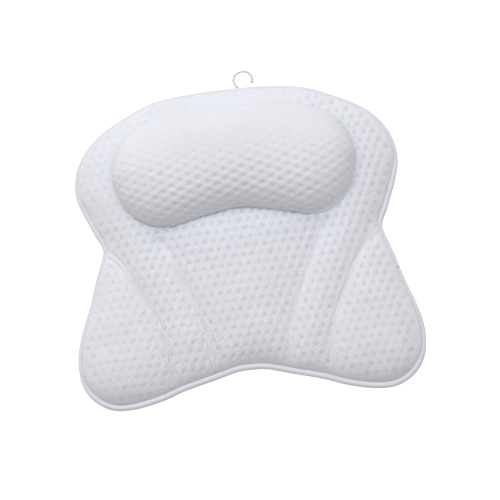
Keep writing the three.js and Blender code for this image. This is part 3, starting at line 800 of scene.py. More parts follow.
class Look:
    """Adds nodes to the tree of a material or of the world; an input is a socket or a plain value."""

    def __init__(self, owner):
        owner.use_nodes = True
        self.owner = owner
        self.nodes, self.links = owner.node_tree.nodes, owner.node_tree.links

    def feed(self, node, inputs):
        for key, value in inputs.items():
            if isinstance(value, bpy.types.NodeSocket):
                self.links.new(value, node.inputs[key])
            else:
                node.inputs[key].default_value = value

    def add(self, kind, inputs, output=0, **settings):
        node = self.nodes.new(f"ShaderNode{kind}")
        for name, value in settings.items():
            setattr(node, name, value)
        self.feed(node, inputs)
        return node.outputs[output]

    def place(self):
        return self.add("TexCoord", {}, "Object")

    def attribute(self, name, output="Fac"):
        return self.add("Attribute", {}, output, attribute_name=name)

    def noise(self, place, scale, detail):
        return self.add("TexNoise", {"Vector": place, "Scale": scale, "Detail": detail}, "Fac")

    def cells(self, place, scale):
        return self.add("TexVoronoi", {"Vector": place, "Scale": scale}, "Distance")

    def waves(self, place, scale, direction):
        inputs = {"Vector": place, "Scale": scale, "Distortion": 0.4, "Detail": 1}
        return self.add("TexWave", inputs, "Fac", bands_direction=direction)

    def calculated(self, operation, *values):
        return self.add("Math", dict(enumerate(values)), operation=operation)

    def mapped(self, value, low, high, start=0, end=1):
        inputs = {"Value": value, "From Min": start, "From Max": end, "To Min": low, "To Max": high}
        return self.add("MapRange", inputs, "Result")

    def mixed(self, factor, first, second, blend="MIX"):
        return self.add("Mix", {0: factor, 6: first, 7: second}, 2, data_type="RGBA", blend_type=blend)

    def toned(self, colour, *tones):
        """A colour times several values, each mapped to a darkest and a lightest tone."""
        for value, (low, high) in tones:
            colour = self.mixed(1, colour, self.mapped(value, low, high), "MULTIPLY")
        return colour

    def shade(self, inputs, relief, strength, distance):
        """Sets the shader's inputs, with a relief of some strength and height."""
        bump = self.add("Bump", {"Strength": strength, "Distance": distance, "Height": relief}, "Normal")
        self.feed(self.nodes["Principled BSDF"], {**inputs, "Normal": bump})
        return self.owner


def new_look(name):
    return Look(bpy.data.materials.new(name))


def opaque(colour):
    return (*colour, 1)


def gathers(look):
    """Fine gathers along the seams, for their relief and for a painted highlight on their crests; the mesh
    holds each point's distance to and place along a seam.
    """
    scale = (1 / GATHER_WIDTH, 1 / GATHER_LENGTH, 1)
    stretched = look.add("Mapping", {"Vector": look.attribute("seam_place", "Vector"), "Scale": scale})
    crest = look.mapped(look.noise(stretched, 1, 3), 0, 1, *GATHER_CREST)
    return look.calculated("MULTIPLY", crest, look.attribute("gather"))


def air_mesh(name, colour, pit_shade_colour):
    """Matt knitted air mesh: ribs, cells and grain, clouded tone; painted shade in its pits, with the deeper
    layer seen through them, and in the crease where the roll is sewn on; painted highlight on the gathers.
    """
    look = new_look(name)
    place = look.place()
    ribs = look.noise(look.add("Mapping", {"Vector": place, "Scale": RIB_STRETCH}), *RIB_NOISE)
    cells = look.cells(place, KNIT_SCALE)
    gathered = gathers(look)
    # Darker in the pits: the deeper layer seen through them, and painted shade
    base = look.mixed(look.attribute("pit"), opaque(colour), opaque(pit_shade_colour))
    tones = ((look.noise(place, *CLOUD_NOISE), CLOUD_TONE), (look.noise(place, *SPECK_NOISE), SPECK_TONE))
    base = look.toned(base, *tones, (ribs, RIB_TONE), (cells, KNIT_TONE))
    # Painted shade in the crease where the roll is sewn on
    base = look.mixed(look.attribute("fold"), base, opaque(FOLD_SHADE_COLOUR))
    # Painted highlight on the gathers' crests
    base = look.mixed(look.mapped(gathered, 0, 1), base, opaque(GATHER_HIGHLIGHT_COLOUR))
    relief = look.noise(place, *GRAIN_NOISE)
    for value, weight in ((ribs, RIB_RELIEF), (cells, KNIT_RELIEF), (gathered, GATHER_RELIEF)):
        relief = look.calculated("MULTIPLY_ADD", value, weight, relief)
    inputs = {"Base Color": base, "Roughness": 0.92, "Specular IOR Level": 0.2}
    inputs.update({"Sheen Weight": 0.1, "Sheen Roughness": 0.5})
    return look.shade(inputs, relief, strength=0.6, distance=0.3 * MM)


def plain_cloth(name, colour, thread_scale, roughness=0.85):
    """Cloth or thread with a fine cell-like weave in colour and relief."""
    look = new_look(name)
    place = look.place()
    weave = look.cells(place, thread_scale)
    cloud = look.noise(place, *CLOTH_CLOUD_NOISE)
    base = look.toned(opaque(colour), (weave, WEAVE_TONE), (cloud, CLOTH_CLOUD_TONE))
    inputs = {"Base Color": base, "Roughness": roughness, "Specular IOR Level": 0.3}
    return look.shade(inputs, look.mapped(weave, 1, 0), strength=0.4, distance=0.2 * MM)


def webbing_cloth(name, colour):
    """Woven tape: crossing ribs of warp and weft."""
    look = new_look(name)
    place = look.place()
    warp, weft = look.waves(place, WARP_SCALE, "X"), look.waves(place, WEFT_SCALE, "Y")
    woven = look.calculated("MULTIPLY", warp, weft)
    base = look.toned(opaque(colour), (woven, WOVEN_TONE))
    inputs = {"Base Color": base, "Roughness": 0.75, "Specular IOR Level": 0.35}
    return look.shade(inputs, woven, strength=0.6, distance=0.25 * MM)


def clear_vinyl(name, thin, thick):
    """Clear soft vinyl with faint flow marks and a slightly uneven gloss."""
    look = new_look(name)
    flow = look.noise(look.place(), *FLOW_NOISE)
    inputs = {"Transmission Weight": 0.9, "IOR": 1.45, "Roughness": look.mapped(flow, low=0.08, high=0.2)}
    base = look.mixed(flow, opaque(thin), opaque(thick))
    return look.shade({**inputs, "Base Color": base}, flow, strength=0.15, distance=0.4 * MM)


def steel_wire(name, dark, light):
    """Drawn steel with fine marks in tone and gloss."""
    look = new_look(name)
    drawn = look.noise(look.place(), *DRAWN_NOISE)
    inputs = {"Metallic": 1, "Roughness": look.mapped(drawn, low=0.3, high=0.5)}
    base = look.mixed(drawn, opaque(dark), opaque(light))
    return look.shade({**inputs, "Base Color": base}, drawn, strength=0.1, distance=0.1 * MM)


MESH = air_mesh("air_mesh", *MESH_COLOURS)
BACK_MESH = air_mesh("back_mesh", *BACK_COLOURS)
PIPING = plain_cloth("piping_cloth", PIPING_COLOUR, thread_scale=1500)
THREAD = plain_cloth("thread", THREAD_COLOUR, thread_scale=3000, roughness=0.6)
STUFFING = plain_cloth("stuffing_fibre", STUFFING_COLOUR, thread_scale=500)
WEBBING = webbing_cloth("webbing", WEBBING_COLOUR)
VINYL = clear_vinyl("clear_vinyl", *VINYL_COLOURS)
STEEL = steel_wire("steel_wire", *STEEL_COLOURS)


def cloth_lift(surface, held):
    """How far a sheet of cloth swells under pressure from a grid of points, held where held is 1."""
    cloth = mesh_object("swelling", surface.reshape(-1, 3), grid_faces(*surface.shape[:2]))
    group = cloth.vertex_groups.new(name="held")
    group.add(np.flatnonzero(held).tolist(), 1.0, "REPLACE")
    settings = cloth.modifiers.new("swell", "CLOTH").settings
    settings.vertex_group_mass = "held"
    settings.use_pressure = True
    settings.uniform_pressure_force = CLOTH_PRESSURE
    settings.effector_weights.gravity = 0
    for step in range(1, CLOTH_FRAMES + 1):
        bpy.context.scene.frame_set(step)
    swollen = cloth.evaluated_get(bpy.context.evaluated_depsgraph_get()).to_mesh()
    moved = np.zeros(surface.size)
    swollen.vertices.foreach_get("co", moved)
    bpy.context.scene.frame_set(1)
    bpy.data.objects.remove(cloth)
    move = moved.reshape(surface.shape) - surface
    length = np.linalg.norm(move, axis=2, keepdims=True)
    return move * np.minimum(1, CLOTH_CAP / np.maximum(length, 1e-9))


def finer(grid, factor):
    """A grid of values with factor steps for each one, along both ways."""
    rows, columns, depth = grid.shape
    tall = catmull(grid.reshape(rows, -1), False, factor).reshape(-1, columns, depth)
    wide = catmull(tall.transpose(1, 0, 2).reshape(columns, -1), False, factor)
    return wide.reshape(-1, tall.shape[0], depth).transpose(1, 0, 2)


def swelling(outside, shape, from_stitches):
    """How the front's outer points move as it swells, held at its edge and seams and under the roll."""
    grid = outside.reshape(*shape, 3)[::COARSE, ::COARSE]
    stitched = from_stitches.reshape(shape)[::COARSE, ::COARSE].ravel() < CLOTH_HELD
    held = np.maximum(inside_roll(grid.reshape(-1, 3)[:, :2]), stitched)
    return finer(cloth_lift(grid, held), COARSE).reshape(-1, 3)


def seam_creases(flat, edge):
    """Fine creases that run beside the seams, as shares of their height."""
    crease = np.zeros(len(flat))
    for seam, seed in ((inner_seam, SEEDS["inner_seam"]), (outer_seam, SEEDS["outer_seam"])):
        gap, along = distance_to(right_half(flat), seam)
        side = np.where(flat[:, 0] < 0, LEFT_SHIFT, 0)
        lines = noise(gap / CREASE_SIZE[0] + side, along / CREASE_SIZE[1] + side, seed)
        crease += lines * np.exp(-gap / CREASE_REACH)
    return crease * smooth(edge / CREASE_EDGE)


def seam_places(flat, edge, seam):
    """Each point's place beside its nearest seam, how gathered the cloth is, and how strong the seam is."""
    half = right_half(flat)
    inner, along_inner = distance_to(half, inner_seam)
    outer, along_outer = distance_to(half, outer_seam)
    beside_inner = inner < outer
    along = np.where(beside_inner, along_inner, along_outer + SEAM_APART)
    side = np.sign(flat[:, 0]) * np.where(beside_inner, 1, 2)
    whole = np.where(beside_inner, line_length(inner_seam), line_length(outer_seam))
    to_end = whole - np.where(beside_inner, along_inner, along_outer)
    strength = ramp(to_end, *SEAM_END) * (1 + SEAM_FOOT_GAIN * ramp(plan_shares(flat)[1], *SEAM_FOOT_Y))
    sides = np.where(flat[:, 0] < 0, *GATHER_SIDES)
    gather = np.exp(-seam / GATHER_REACH) * smooth(edge / GATHER_EDGE) * sides
    return np.column_stack([seam, along, side]), gather * strength, strength


def front_folds(flat, edge, seam, strength):
    """Heights of the front's creases, of its shallow sags and of the ridge on each seam."""
    sag = noise(*(flat / SAG_SIZE).T, SEEDS["sag"]) * smooth(edge / PIT_EDGE)
    ridge = np.exp(-((seam / MM) ** 2)) * np.where(flat[:, 0] < 0, *RIDGE_SIDES) * smooth(edge / RIDGE_EDGE)
    return CREASE_HEIGHT * seam_creases(flat, edge) + SAG_HEIGHT * sag + SEAM_RIDGE * ridge * strength


def front_pits(flat, edge, seam):
    """Depth of the front's pits, below 0 on the low bumps between them."""
    x, y = plan_shares(flat)
    dash = DASH_LEAN + DASH_TURN * ramp(x, *DASH_TURN_X)
    cloth = flat - (0, PAD_Y)
    depth = pits(cloth, PIT_LEAN, dash) - BUMP_SHARE * pits(cloth + (PIT_ALONG / 2, 0), PIT_LEAN, dash)
    depth *= smooth(edge / PIT_EDGE) * (PIT_ON_SEAM + (1 - PIT_ON_SEAM) * smooth(seam / PIT_SEAM))
    for across, up, both_sides, gain in PIT_ZONES:
        depth *= 1 + gain * ramp(np.abs(x) if both_sides else x, *across) * ramp(y, *up)
    return depth


def panel_mesh(outside, inside, shape, flip=False):
    outer, inner = (twisted(face).reshape(*shape, 3) for face in (outside, inside))
    return sheet_mesh(outer, inner, COARSE, flip)


def front_panel():
    plan = pad_plan(*FRONT_GRID)
    shape, flat = plan.shape[:2], plan.reshape(-1, 2)
    height, edge, seam = rise(flat, *FRONT)
    inside = np.column_stack([flat, FRONT_BASE + height])
    outside = inside + (0, 0, FRONT_THICKNESS)
    outside += swelling(outside, shape, np.minimum(edge, seam))
    depth = front_pits(flat, edge, seam)
    place, gather, strength = seam_places(flat, edge, seam)
    outside[:, 2] += front_folds(flat, edge, seam, strength) - PIT_DEPTH * depth
    outside[:, 2] = np.maximum(outside[:, 2], inside[:, 2] + FRONT_LEAST)
    outside[:, :2] += bulge(flat, edge)
    piece = new_object("front_cloth", *panel_mesh(outside, inside, shape), MESH, "pad", "air_mesh")
    # Painted shade on the pad under the roll's edge, darkest at the roll's outline
    fold = inside_roll(flat) * smooth(1 - distance_to(flat, roll_outline)[0] / FOLD_SHADE_REACH)
    add_attributes(piece, pit=np.maximum(depth, 0), seam_place=place, gather=gather, fold=fold)
    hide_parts("front_panel")


def back_panel():
    plan = pad_plan(*BACK_GRID)
    shape, flat = plan.shape[:2], plan.reshape(-1, 2)
    height, edge, seam = rise(flat, *BACK)
    inside = np.column_stack([flat, BACK_BASE - height])
    pit = pits(flat - (0, PAD_Y), PIT_LEAN, DASH_LEAN) * smooth(edge / PIT_EDGE) * smooth(seam / PIT_SEAM)
    outside = inside - (0, 0, BACK_THICKNESS)
    outside[:, 2] += BACK_PIT_DEPTH * pit + BACK_CREASE_HEIGHT * seam_creases(flat, edge)
    outside[:, 2] = np.minimum(outside[:, 2], inside[:, 2] - BACK_LEAST)
    mesh = panel_mesh(outside, inside, shape, flip=True)
    piece = new_object("back_cloth", *mesh, BACK_MESH, "pad", "back_fabric")
    place, gather, _ = seam_places(flat, edge, seam)
    add_attributes(piece, pit=pit, seam_place=place, gather=BACK_GATHER * gather)
    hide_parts("back_panel")


def roll_spokes(pairs):
    """Ridge points, ways and lengths of lines to the widest points, counter-clockwise from the right end."""
    end = roll_outline[np.argmax(roll_outline[:, 0])]
    shares = np.cos(np.linspace(0, np.pi, pairs + 1))
    rows = []
    for share, way in [(s, 1) for s in shares] + [(s, -1) for s in shares[1:-1][::-1]]:
        ridge_x = min(max(RIDGE_STRETCH * share, -1), 1) * (ROLL_LENGTH / 2 - ROLL_END_ROUND)
        ridge_y = (crossing(roll_outline, 0, ridge_x, -1) + crossing(roll_outline, 0, ridge_x, 1)) / 2
        x = share * end[0]
        y = end[1] if abs(share) > 1 - 1e-9 else crossing(roll_outline, 0, x, way)
        rows.append((ridge_x, ridge_y, x, y))
    rows = np.array(rows)
    ridge, radial = rows[:, :2], rows[:, 2:] - rows[:, :2]
    length = np.hypot(*radial.T)
    return ridge, radial / length[:, None], length


def roll_rings(spokes, steps, tuck_steps, inset, lift):
    """Rings of points from the ridge of the roll to its foot."""
    ridge, way, length = spokes
    reach = length - inset
    power = 2 / ROLL_FULLNESS
    height = ROLL_HEIGHT - inset - ROLL_WIDEST_HEIGHT
    rings = []
    for angle in np.linspace(0, np.pi / 2, steps + 1):
        z = ROLL_WIDEST_HEIGHT + height * max(math.cos(angle), 0) ** power
        plan = ridge + way * (reach * math.sin(angle) ** power)[:, None]
        rings.append(np.column_stack([plan, np.full(len(ridge), PAD_TOP + z)]))
    ground = ground_under(ridge + way * (reach - ROLL_TUCK)[:, None], lift)
    widest = PAD_TOP + ROLL_WIDEST_HEIGHT
    for share in np.arange(1, tuck_steps + 1) / tuck_steps:
        plan = ridge + way * (reach - ROLL_TUCK * share**ROLL_CURL)[:, None]
        rings.append(np.column_stack([plan, widest + (ground - widest) * share]))
    return np.array(rings)


def ring_normals(rings):
    """Outward directions; the first rings, which lie together on the ridge, look straight up."""
    sideways = np.roll(rings, -1, axis=1) - np.roll(rings, 1, axis=1)
    normal = np.cross(np.gradient(rings, axis=0), sideways)
    normal /= np.linalg.norm(normal, axis=2, keepdims=True) + 1e-12
    normal[:RIDGE_RINGS] = (0, 0, 1)
    return normal


def roll_pits(flat, rings, normals):
    """Depth of the roll's pits, below 0 on the bumps between them."""
    lean = math.pi / 2 + PIT_LEAN
    dashes = pits(flat, lean, ROLL_DASH_LEAN, *ROLL_PIT)
    bumps = pits(flat + (0, PIT_ALONG / 2), lean, ROLL_DASH_LEAN, *ROLL_BUMP)
    x, y = rings[..., 0], rings[..., 1] - ROLL_MIDDLE
    strength = ROLL_TOP_PITS + (1 - ROLL_TOP_PITS) * ramp(y, *ROLL_TOP_Y)
    strength *= 1 - ROLL_END_LOSS * ramp(np.abs(x) / ROLL_LENGTH, *ROLL_END_X)
    wall = smooth(y / ROLL_WALL_Y) * ramp(normals[..., 2], *ROLL_WALL_TILT)
    strength += (ROLL_WALL_PITS - strength) * wall
    return strength * (dashes - BUMP_SHARE * bumps).reshape(strength.shape)


def roll_folds(flat, foot, hem):
    """Heights of the roll's shallow sags and of the puckers along its hem."""
    around = np.cumsum(np.hypot(*(foot - np.roll(foot, 1, axis=0)).T))
    pucker = noise(around / PUCKER_SIZE, np.zeros(len(foot)), SEEDS["pucker"]) * np.exp(-hem / HEM_REACH)
    sag = noise(*(flat / ROLL_SAG_SIZE).T, SEEDS["roll_sag"]).reshape(hem.shape)
    return SAG_HEIGHT * sag * smooth(hem / HEM_REACH) + PUCKER_HEIGHT * pucker


def roll_mesh(outer, inner):
    """Vertices and faces of the roll's cloth, closed along its foot."""
    (rings, fine), (inner_rings, sparse) = outer.shape[:2], inner.shape[:2]
    start = rings * fine
    last = start + (inner_rings - 1) * sparse
    faces = ring_faces(rings, fine) + ring_faces(inner_rings, sparse, start, flip=True)
    faces += bridge(np.arange(fine) + start - fine, np.arange(sparse) + last, COARSE, True)
    return twisted(np.vstack([outer.reshape(-1, 3), inner.reshape(-1, 3)])), faces


def roll_cover():
    spokes = roll_spokes(ROLL_PAIRS)
    rings = roll_rings(spokes, ROLL_STEPS, ROLL_TUCK_STEPS, 0, ROLL_SEAT)
    normals = ring_normals(rings)
    steps = np.linalg.norm(np.diff(rings, axis=0), axis=2)
    arc = np.vstack([np.zeros(rings.shape[1]), np.cumsum(steps, axis=0)])
    hem = arc[-1] - arc
    flat = (spokes[0] + spokes[1] * arc[..., None]).reshape(-1, 2) - (0, ROLL_MIDDLE)
    depth = roll_pits(flat, rings, normals)
    move = roll_folds(flat, rings[-1, :, :2], hem) - ROLL_PIT_DEPTH * depth * smooth(hem / ROLL_PIT_HEM)
    outer = rings + normals * move[..., None]
    fewer = [values[::COARSE] for values in spokes]
    inner = roll_rings(fewer, ROLL_STEPS // COARSE, ROLL_INNER_TUCK_STEPS, ROLL_THICKNESS, ROLL_SEAT)
    piece = new_object("roll_cloth", *roll_mesh(outer, inner), MESH, "pad", "air_mesh")
    # Painted shade on the roll's lowest band, where it meets the pad
    above = rings[..., 2] - rings[-1, :, 2]
    fold = np.exp(-((above / FOLD_SHADE_HEIGHT) ** 2))
    add_attributes(piece, pit=np.maximum(depth, 0).ravel(), fold=fold.ravel())
    weld(piece)
    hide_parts("roll_cover")
    flange(spokes)


def flange(spokes):
    """The sewn lip round the roll's foot, flat on the pad, with its stitches."""
    ridge, way, length = spokes
    width = LIP_WIDTH + LIP_SHOWN * ramp(way[:, 0], *LIP_SHOWN_X) * ramp(way[:, 1], *LIP_SHOWN_Y)
    rows = []
    for share, lift in LIP_SECTION:
        plan = ridge + way * (length - ROLL_TUCK + share * width)[:, None]
        rows.append(np.column_stack([plan, ground_under(plan, lift * MM)]))
    rings = twisted(np.array(rows))
    index = np.arange(len(ridge))
    following = np.roll(index, -1)
    last = (len(rows) - 1) * len(ridge)
    faces = ring_faces(len(rows), len(ridge))
    faces += quads(last + index, index, following, last + following)
    new_object("roll_flange", rings.reshape(-1, 3), faces, PIPING, "pad", "air_mesh")
    line = (rings[2] + rings[3]) / 2 + (0, 0, LIP_THREAD_SEAT)
    new_object("flange_thread", *stitches(np.vstack([line, line[:1]]), 1), THREAD, "pad", "piping_fabric")


def piping_path():
    """The piping's middle line, counter-clockwise from its joint on the right side."""
    loop = outline[::-1][:-1]
    from_joint = np.abs(loop[:, 1] - PAD_Y - PIPING_JOINT_SHARE * HALF_LENGTH)
    start = int(np.argmin(np.where(loop[:, 0] > 0, from_joint, np.inf)))
    loop = resample(np.vstack([loop[start:], loop[:start + 1]]), PIPING_POINTS)
    tangent = unit(np.gradient(loop, axis=0))
    middle = loop + np.column_stack([tangent[:, 1], -tangent[:, 0]]) * PIPING_OFFSET
    middle[0] += tangent[0] * PIPING_JOINT_GAP / 2
    middle[-1] -= tangent[-1] * PIPING_JOINT_GAP / 2
    return np.column_stack([middle, np.full(PIPING_POINTS, SEAM_HEIGHT)])


def edge_piping():
    path = twisted(piping_path())
    steps = np.arange(PIPING_POINTS) / PIPING_WAVE_POINTS
    path[:, 2] += PIPING_WAVE * noise(steps, np.zeros(PIPING_POINTS), SEEDS["piping"])
    radius = PIPING_DIAMETER / 2
    section = radius * np.column_stack([np.cos(PIPING_ROUND), np.sin(PIPING_ROUND)])
    sunk = -radius - PIPING_SINK
    flat_side = [(sunk, PIPING_SEAM_HALF), (sunk, -PIPING_SEAM_HALF)]
    tape = sweep(path, np.vstack([section, flat_side]))
    piece = new_object("piping", *tape, PIPING, "pad", "piping_fabric")
    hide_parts("edge_piping")
    piping_core(path)


def piping_core(path):
    """The twisted cord inside the piping."""
    turns = np.linspace(0, 2 * np.pi * line_length(path) / CORE_TURN, PIPING_POINTS)
    angle = np.arange(CORE_SIDES) * 2 * np.pi / CORE_SIDES
    strands = 1 + CORE_STRAND_DEPTH * np.cos(CORE_STRANDS * (angle - turns[:, None] / CORE_STRANDS))
    sections = strands[..., None] * round_section(CORE_RADIUS, CORE_SIDES)
    side = unit(np.cross(np.gradient(path, axis=0), (0, 0, 1)))
    core = tube(path, sections, side, np.array([(0, 0, 1)]))
    piece = new_object("piping_core", *core, STUFFING, "pad", "stuffing")
    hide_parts("piping_cord")


def quilting_threads():
    """Stitches along the four quilting seams, on the front and on the back."""
    parts = []
    for seam in (inner_seam, outer_seam):
        for side in (-1, 1):
            line = resample(seam[QUILTING_START:], QUILTING_POINTS) * (side, 1)
            front = ground_under(line, THREAD_SEAT)
            back = BACK_BASE - BACK_THICKNESS - rise(line, *BACK)[0]
            for height, way in ((front, 1), (back, -1)):
                parts.append(stitches(twisted(np.column_stack([line, height])), way))
    new_object("quilting_thread", *joined(parts), THREAD, "pad", "piping_fabric")


def stuffing_block(name, plan, rows, columns):
    block = plan[rows[0]:rows[1] + 1, columns[0]:columns[1] + 1]
    shape, flat = (*block.shape[:2], 3), block.reshape(-1, 2)
    room = STUFFING_ROOM + STUFFING_UNEVENNESS * np.abs(noise(*(flat / STUFFING_GRAIN).T, SEEDS["stuffing"]))
    top = SEAM_HEIGHT + rise(flat, *FRONT)[0] - room
    low = SEAM_HEIGHT - rise(flat, *BACK)[0] + room
    middle = flat.mean(axis=0)
    inward = middle + (flat - middle) * STUFFING_SHRINK
    upper, lower = (twisted(np.column_stack([inward, face])).reshape(shape) for face in (top, low))
    piece = new_object(name, *sheet_mesh(upper, lower, 1), STUFFING, "pad", "stuffing")
    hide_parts(name.replace("batting", "filling"))


def stuffing():
    """Batting in each quilted channel; the head block is one piece above the seams."""
    lobe, channel, centre = STUFFING_GRID[0]
    foot, middle, head = STUFFING_ROWS
    plan = pad_plan(*STUFFING_GRID)
    total = 2 * lobe + 2 * channel + centre
    spans = {
        "batting_lobe_left": (STUFFING_MARGIN, lobe), "batting_channel_left": (lobe, lobe + channel),
        "batting_centre": (lobe + channel, lobe + channel + centre),
        "batting_channel_right": (total - lobe - channel, total - lobe),
        "batting_lobe_right": (total - lobe, total - STUFFING_MARGIN),
    }
    for name, span in spans.items():
        stuffing_block(name, plan, (foot, middle), span)
    stuffing_block("batting_head", plan, (middle, head), (STUFFING_MARGIN, total - STUFFING_MARGIN))


def roll_stuffing():
    ridge, way, length = spokes = roll_spokes(ROLL_STUFFING_PAIRS)
    inset, seat, grain = ROLL_STUFFING_INSET, ROLL_STUFFING_SEAT, ROLL_STUFFING_GRAIN
    rings = list(roll_rings(spokes, ROLL_STUFFING_STEPS, ROLL_INNER_TUCK_STEPS, inset, seat))
    for share in ROLL_STUFFING_BED:
        plan = ridge + way * ((length - inset - ROLL_TUCK) * share)[:, None]
        rings.append(np.column_stack([plan, ground_under(plan, seat)]))
    rings = np.array(rings)
    across, up = rings[..., 0] / grain, rings[..., 1] / grain + rings[..., 2] / grain
    uneven = np.abs(noise(across, up, SEEDS["roll_stuffing"]))
    uneven[ROLL_STUFFING_STEPS + 1:] = 0
    rings = twisted(rings - ring_normals(rings) * ROLL_STUFFING_UNEVENNESS * uneven[..., None])
    faces = ring_faces(*rings.shape[:2])
    piece = new_object("batting_roll", rings.reshape(-1, 3), faces, STUFFING, "pad", "stuffing")
    weld(piece)
    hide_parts("roll_filling")


def suction_cup(name, place):
    runs = [catmull(run, False, CUP_STEPS)[:-1] for run in (CUP_UNDERSIDE, CUP_LIP, CUP_BELL, CUP_HEAD)]
    cup = lathe(np.vstack([*runs, CUP_HEAD[-1]]) * MM, CUP_SEGMENTS)
    piece = new_object(f"clear_{name}", *placed(cup, place), VINYL, name, "clear_vinyl")
    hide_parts(f"suction_{name}")


def cup_strap(name, place):
    half = np.array(STRAP_LINE)
    line = catmull(np.vstack([half, (half * (-1, 1))[::-1][1:]]), False, TAPE_STEPS) * MM
    strap = new_object(f"webbing_{name}", *band(line, *STRAP_SIZE), WEBBING, "pad", "webbing")
    drill(strap, HOLE_RADIUS, STRAP_HEIGHT)
    strap.data.transform(Matrix.Translation(place))
    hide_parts(f"cup_strap_{name}")
    half_width, near, far, height = STRAP_BOX
    boxes = [sewn_box(half_width, side * near, side * far, height, STRAP_STITCH) for side in (-1, 1)]
    threads = placed(joined([hole_stitches(), *boxes]), place)
    new_object(f"thread_{name}", *threads, THREAD, "pad", "webbing")


def drill(piece, radius, height):
    """Cuts a round hole straight through a band about the origin."""
    work = bmesh.new()
    bmesh.ops.create_cone(
        work, cap_ends=True, segments=HOLE_SIDES, radius1=radius, radius2=radius, depth=DRILL_DEPTH,
        matrix=Matrix.Translation((0, 0, height)),
    )
    mesh = bpy.data.meshes.new("drill")
    work.to_mesh(mesh)
    work.free()
    tool = scene_object("drill", mesh)
    cut = piece.modifiers.new("hole", "BOOLEAN")
    cut.operation = "DIFFERENCE"
    cut.object = tool
    cut.solver = "EXACT"
    cut_mesh = bpy.data.meshes.new_from_object(piece.evaluated_get(bpy.context.evaluated_depsgraph_get()))
    piece.modifiers.clear()
    piece.data = cut_mesh
    bpy.data.objects.remove(tool)


def hole_stitches():
    """Buttonhole stitches round the hole, on both faces of the strap."""
    parts = []
    reach = np.array(HOLE_STITCH_REACH) + HOLE_RADIUS
    section = round_section(HOLE_THREAD_RADIUS, HOLE_THREAD_SIDES)
    for angle in np.arange(HOLE_STITCHES) * 2 * np.pi / HOLE_STITCHES:
        flat = np.outer(reach, (math.cos(angle), math.sin(angle)))
        for side in (-1, 1):
            z = STRAP_HEIGHT + side * (STRAP_SIZE[1] / 2 + np.array(HOLE_STITCH_LIFT))
            parts.append(sweep(np.column_stack([flat, z]), section))
    return joined(parts)


def cups_and_straps():
    for row, share in CUP_SHARES.items():
        for side, sign in (("left", -1), ("right", 1)):
            place = np.array((sign * share[0] * HALF_WIDTH, share[1] * HALF_LENGTH + PAD_Y, 0))
            suction_cup(f"cup_{row}_{side}", place)
            cup_strap(f"{row}_{side}", place)


def hanging_ribbon():
    ribbon = band(catmull(RIBBON_LINE, False, TAPE_STEPS) * MM, *RIBBON_SIZE)
    piece = new_object("ribbon", *placed(ribbon, HOOK_AXIS), WEBBING, "pad", "webbing")
    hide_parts("hanging_loop")
    box = placed(sewn_box(*RIBBON_BOX, RIBBON_STITCH), HOOK_AXIS)
    new_object("ribbon_thread", *box, THREAD, "pad", "webbing")


def arc_line(centre, radius, start, end):
    angle = np.radians(np.linspace(start, end, HOOK_ARC_POINTS))
    return np.column_stack([centre[0] + radius * np.cos(angle), centre[1] + radius * np.sin(angle)])


def hook_line():
    """The middle of the hook's wire, flat, from the lower loop's tip to the upper one's."""
    lower, upper = HOOK_RADII
    tangent = math.degrees(math.asin((lower + upper) / HOOK_SPACING))
    line = np.vstack([
        arc_line((0, lower), lower, HOOK_TIPS[0], 360 + tangent),
        arc_line((HOOK_LEAN, lower + HOOK_SPACING), upper, 180 + tangent, HOOK_TIPS[1]),
    ])
    first = line[0] + (line[0] - line[1]) * HOOK_TIP_STRETCH
    last = line[-1] + (line[-1] - line[-2]) * HOOK_TIP_STRETCH
    return resample(np.vstack([first, line, last]), HOOK_POINTS)


def hook():
    line = hook_line()
    along = np.linspace(0, line_length(line), HOOK_POINTS)
    radius = np.full(HOOK_POINTS, WIRE_RADIUS)
    for from_tip in (along, along[-1] - along):
        ball = np.sqrt(np.maximum(BALL_RADIUS**2 - (from_tip - BALL_RADIUS) ** 2, BALL_POLE**2))
        radius = np.where(from_tip < BALL_RADIUS, ball, np.maximum(radius, ball))
    path = np.column_stack([line, np.zeros(HOOK_POINTS)])
    wire, faces = sweep(path, round_section(radius, HOOK_SIDES))
    droop = math.asin((HOOK_AXIS[2] - BALL_RADIUS) / (sum(HOOK_RADII) + HOOK_SPACING))
    turn = np.array(Matrix.Rotation(-droop, 3, "X"))
    piece = new_object("steel_hook", wire @ turn.T + HOOK_AXIS, faces, STEEL, "hook", "steel")
    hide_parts("s_hook")


def place_camera():
    """The photograph's view: nearly straight down on the pad, a little from its foot, and turned."""
    aim = Vector((0, PAD_Y, SEAM_HEIGHT))
    tilted = Vector((0, -math.sin(CAMERA_TILT), math.cos(CAMERA_TILT)))
    toward = Matrix.Rotation(CAMERA_SIDE, 3, "Y") @ tilted
    up = toward.cross(Vector((1, 0, 0))).normalized()
    turn = Matrix.Rotation(-CAMERA_TURN, 3, toward)
    right, up = turn @ up.cross(toward), turn @ up
    middle = FRAME_PX / 2
    scale = MM_PER_PX * MM
    aim += right * (middle - PAD_MIDDLE_PX[0]) * scale - up * (middle - PAD_MIDDLE_PX[1]) * scale
    data = bpy.data.cameras.new("camera")
    data.sensor_width = SENSOR
    data.lens = SENSOR * CAMERA_DISTANCE / (FRAME_PX * scale)
    data.clip_end = CAMERA_REACH
    camera = scene_object("camera", data)
    axes = Matrix((right, up, toward)).transposed().to_4x4()
    camera.matrix_world = Matrix.Translation(aim + toward * CAMERA_DISTANCE) @ axes
    bpy.context.scene.camera = camera


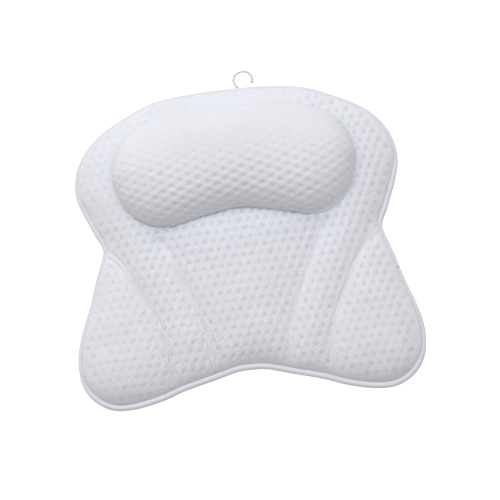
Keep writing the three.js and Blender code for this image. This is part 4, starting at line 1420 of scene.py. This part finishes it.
def shown_directly(look):
    """1 for rays from the camera, straight or by way of gloss or glass, else 0."""
    seen = look.add("LightPath", {}, "Is Camera Ray")
    for ray in ("Is Glossy Ray", "Is Transmission Ray"):
        seen = look.calculated("MAXIMUM", seen, look.add("LightPath", {}, ray))
    return seen


def add_floor():
    """A pale floor that glows to the camera, more with distance, and is clear for a camera under it."""
    reach = FLOOR_REACH
    square = [(-reach, -reach, 0), (reach, -reach, 0), (reach, reach, 0), (-reach, reach, 0)]
    floor = mesh_object("floor", square, [(0, 1, 2, 3)])
    look = new_look("floor")
    away = look.add("VectorMath", {0: look.place()}, "Value", operation="LENGTH")
    glow = look.calculated("MULTIPLY", look.mapped(away, FLOOR_GLOW, FAR_GLOW), shown_directly(look))
    shader = look.nodes["Principled BSDF"]
    look.feed(shader, {"Base Color": opaque(FLOOR_COLOUR), "Roughness": 0.8})
    look.feed(shader, {"Emission Color": (1, 1, 1, 1), "Emission Strength": glow})
    below = look.add("NewGeometry", {}, "Backfacing")
    clear = look.add("BsdfTransparent", {})
    surface = look.add("MixShader", {0: below, 1: shader.outputs["BSDF"], 2: clear})
    look.feed(look.nodes["Material Output"], {"Surface": surface})
    floor.data.materials.append(look.owner)


def add_lamp(name, place, size, power, shadow):
    data = bpy.data.lights.new(name, "AREA")
    data.shape = "DISK"
    data.size = size
    data.energy = power
    data.use_shadow = shadow
    lamp = scene_object(name, data)
    lamp.location = place
    lamp.rotation_euler = (Vector(LAMP_AIM) - Vector(place)).to_track_quat("-Z", "Y").to_euler()


def light_scene():
    look = Look(bpy.data.worlds.new("world"))
    bpy.context.scene.world = look.owner
    strength = look.mapped(shown_directly(look), WORLD_LIGHT, 1)
    look.feed(look.nodes["Background"], {"Color": (1, 1, 1, 1), "Strength": strength})
    for name, lamp in LAMPS.items():
        add_lamp(name, *lamp)
    bpy.context.scene.view_settings.view_transform = "Standard"


place_camera()
add_floor()
light_scene()
front_panel()
back_panel()
roll_cover()
edge_piping()
quilting_threads()
stuffing()
roll_stuffing()
cups_and_straps()
hanging_ribbon()
hook()
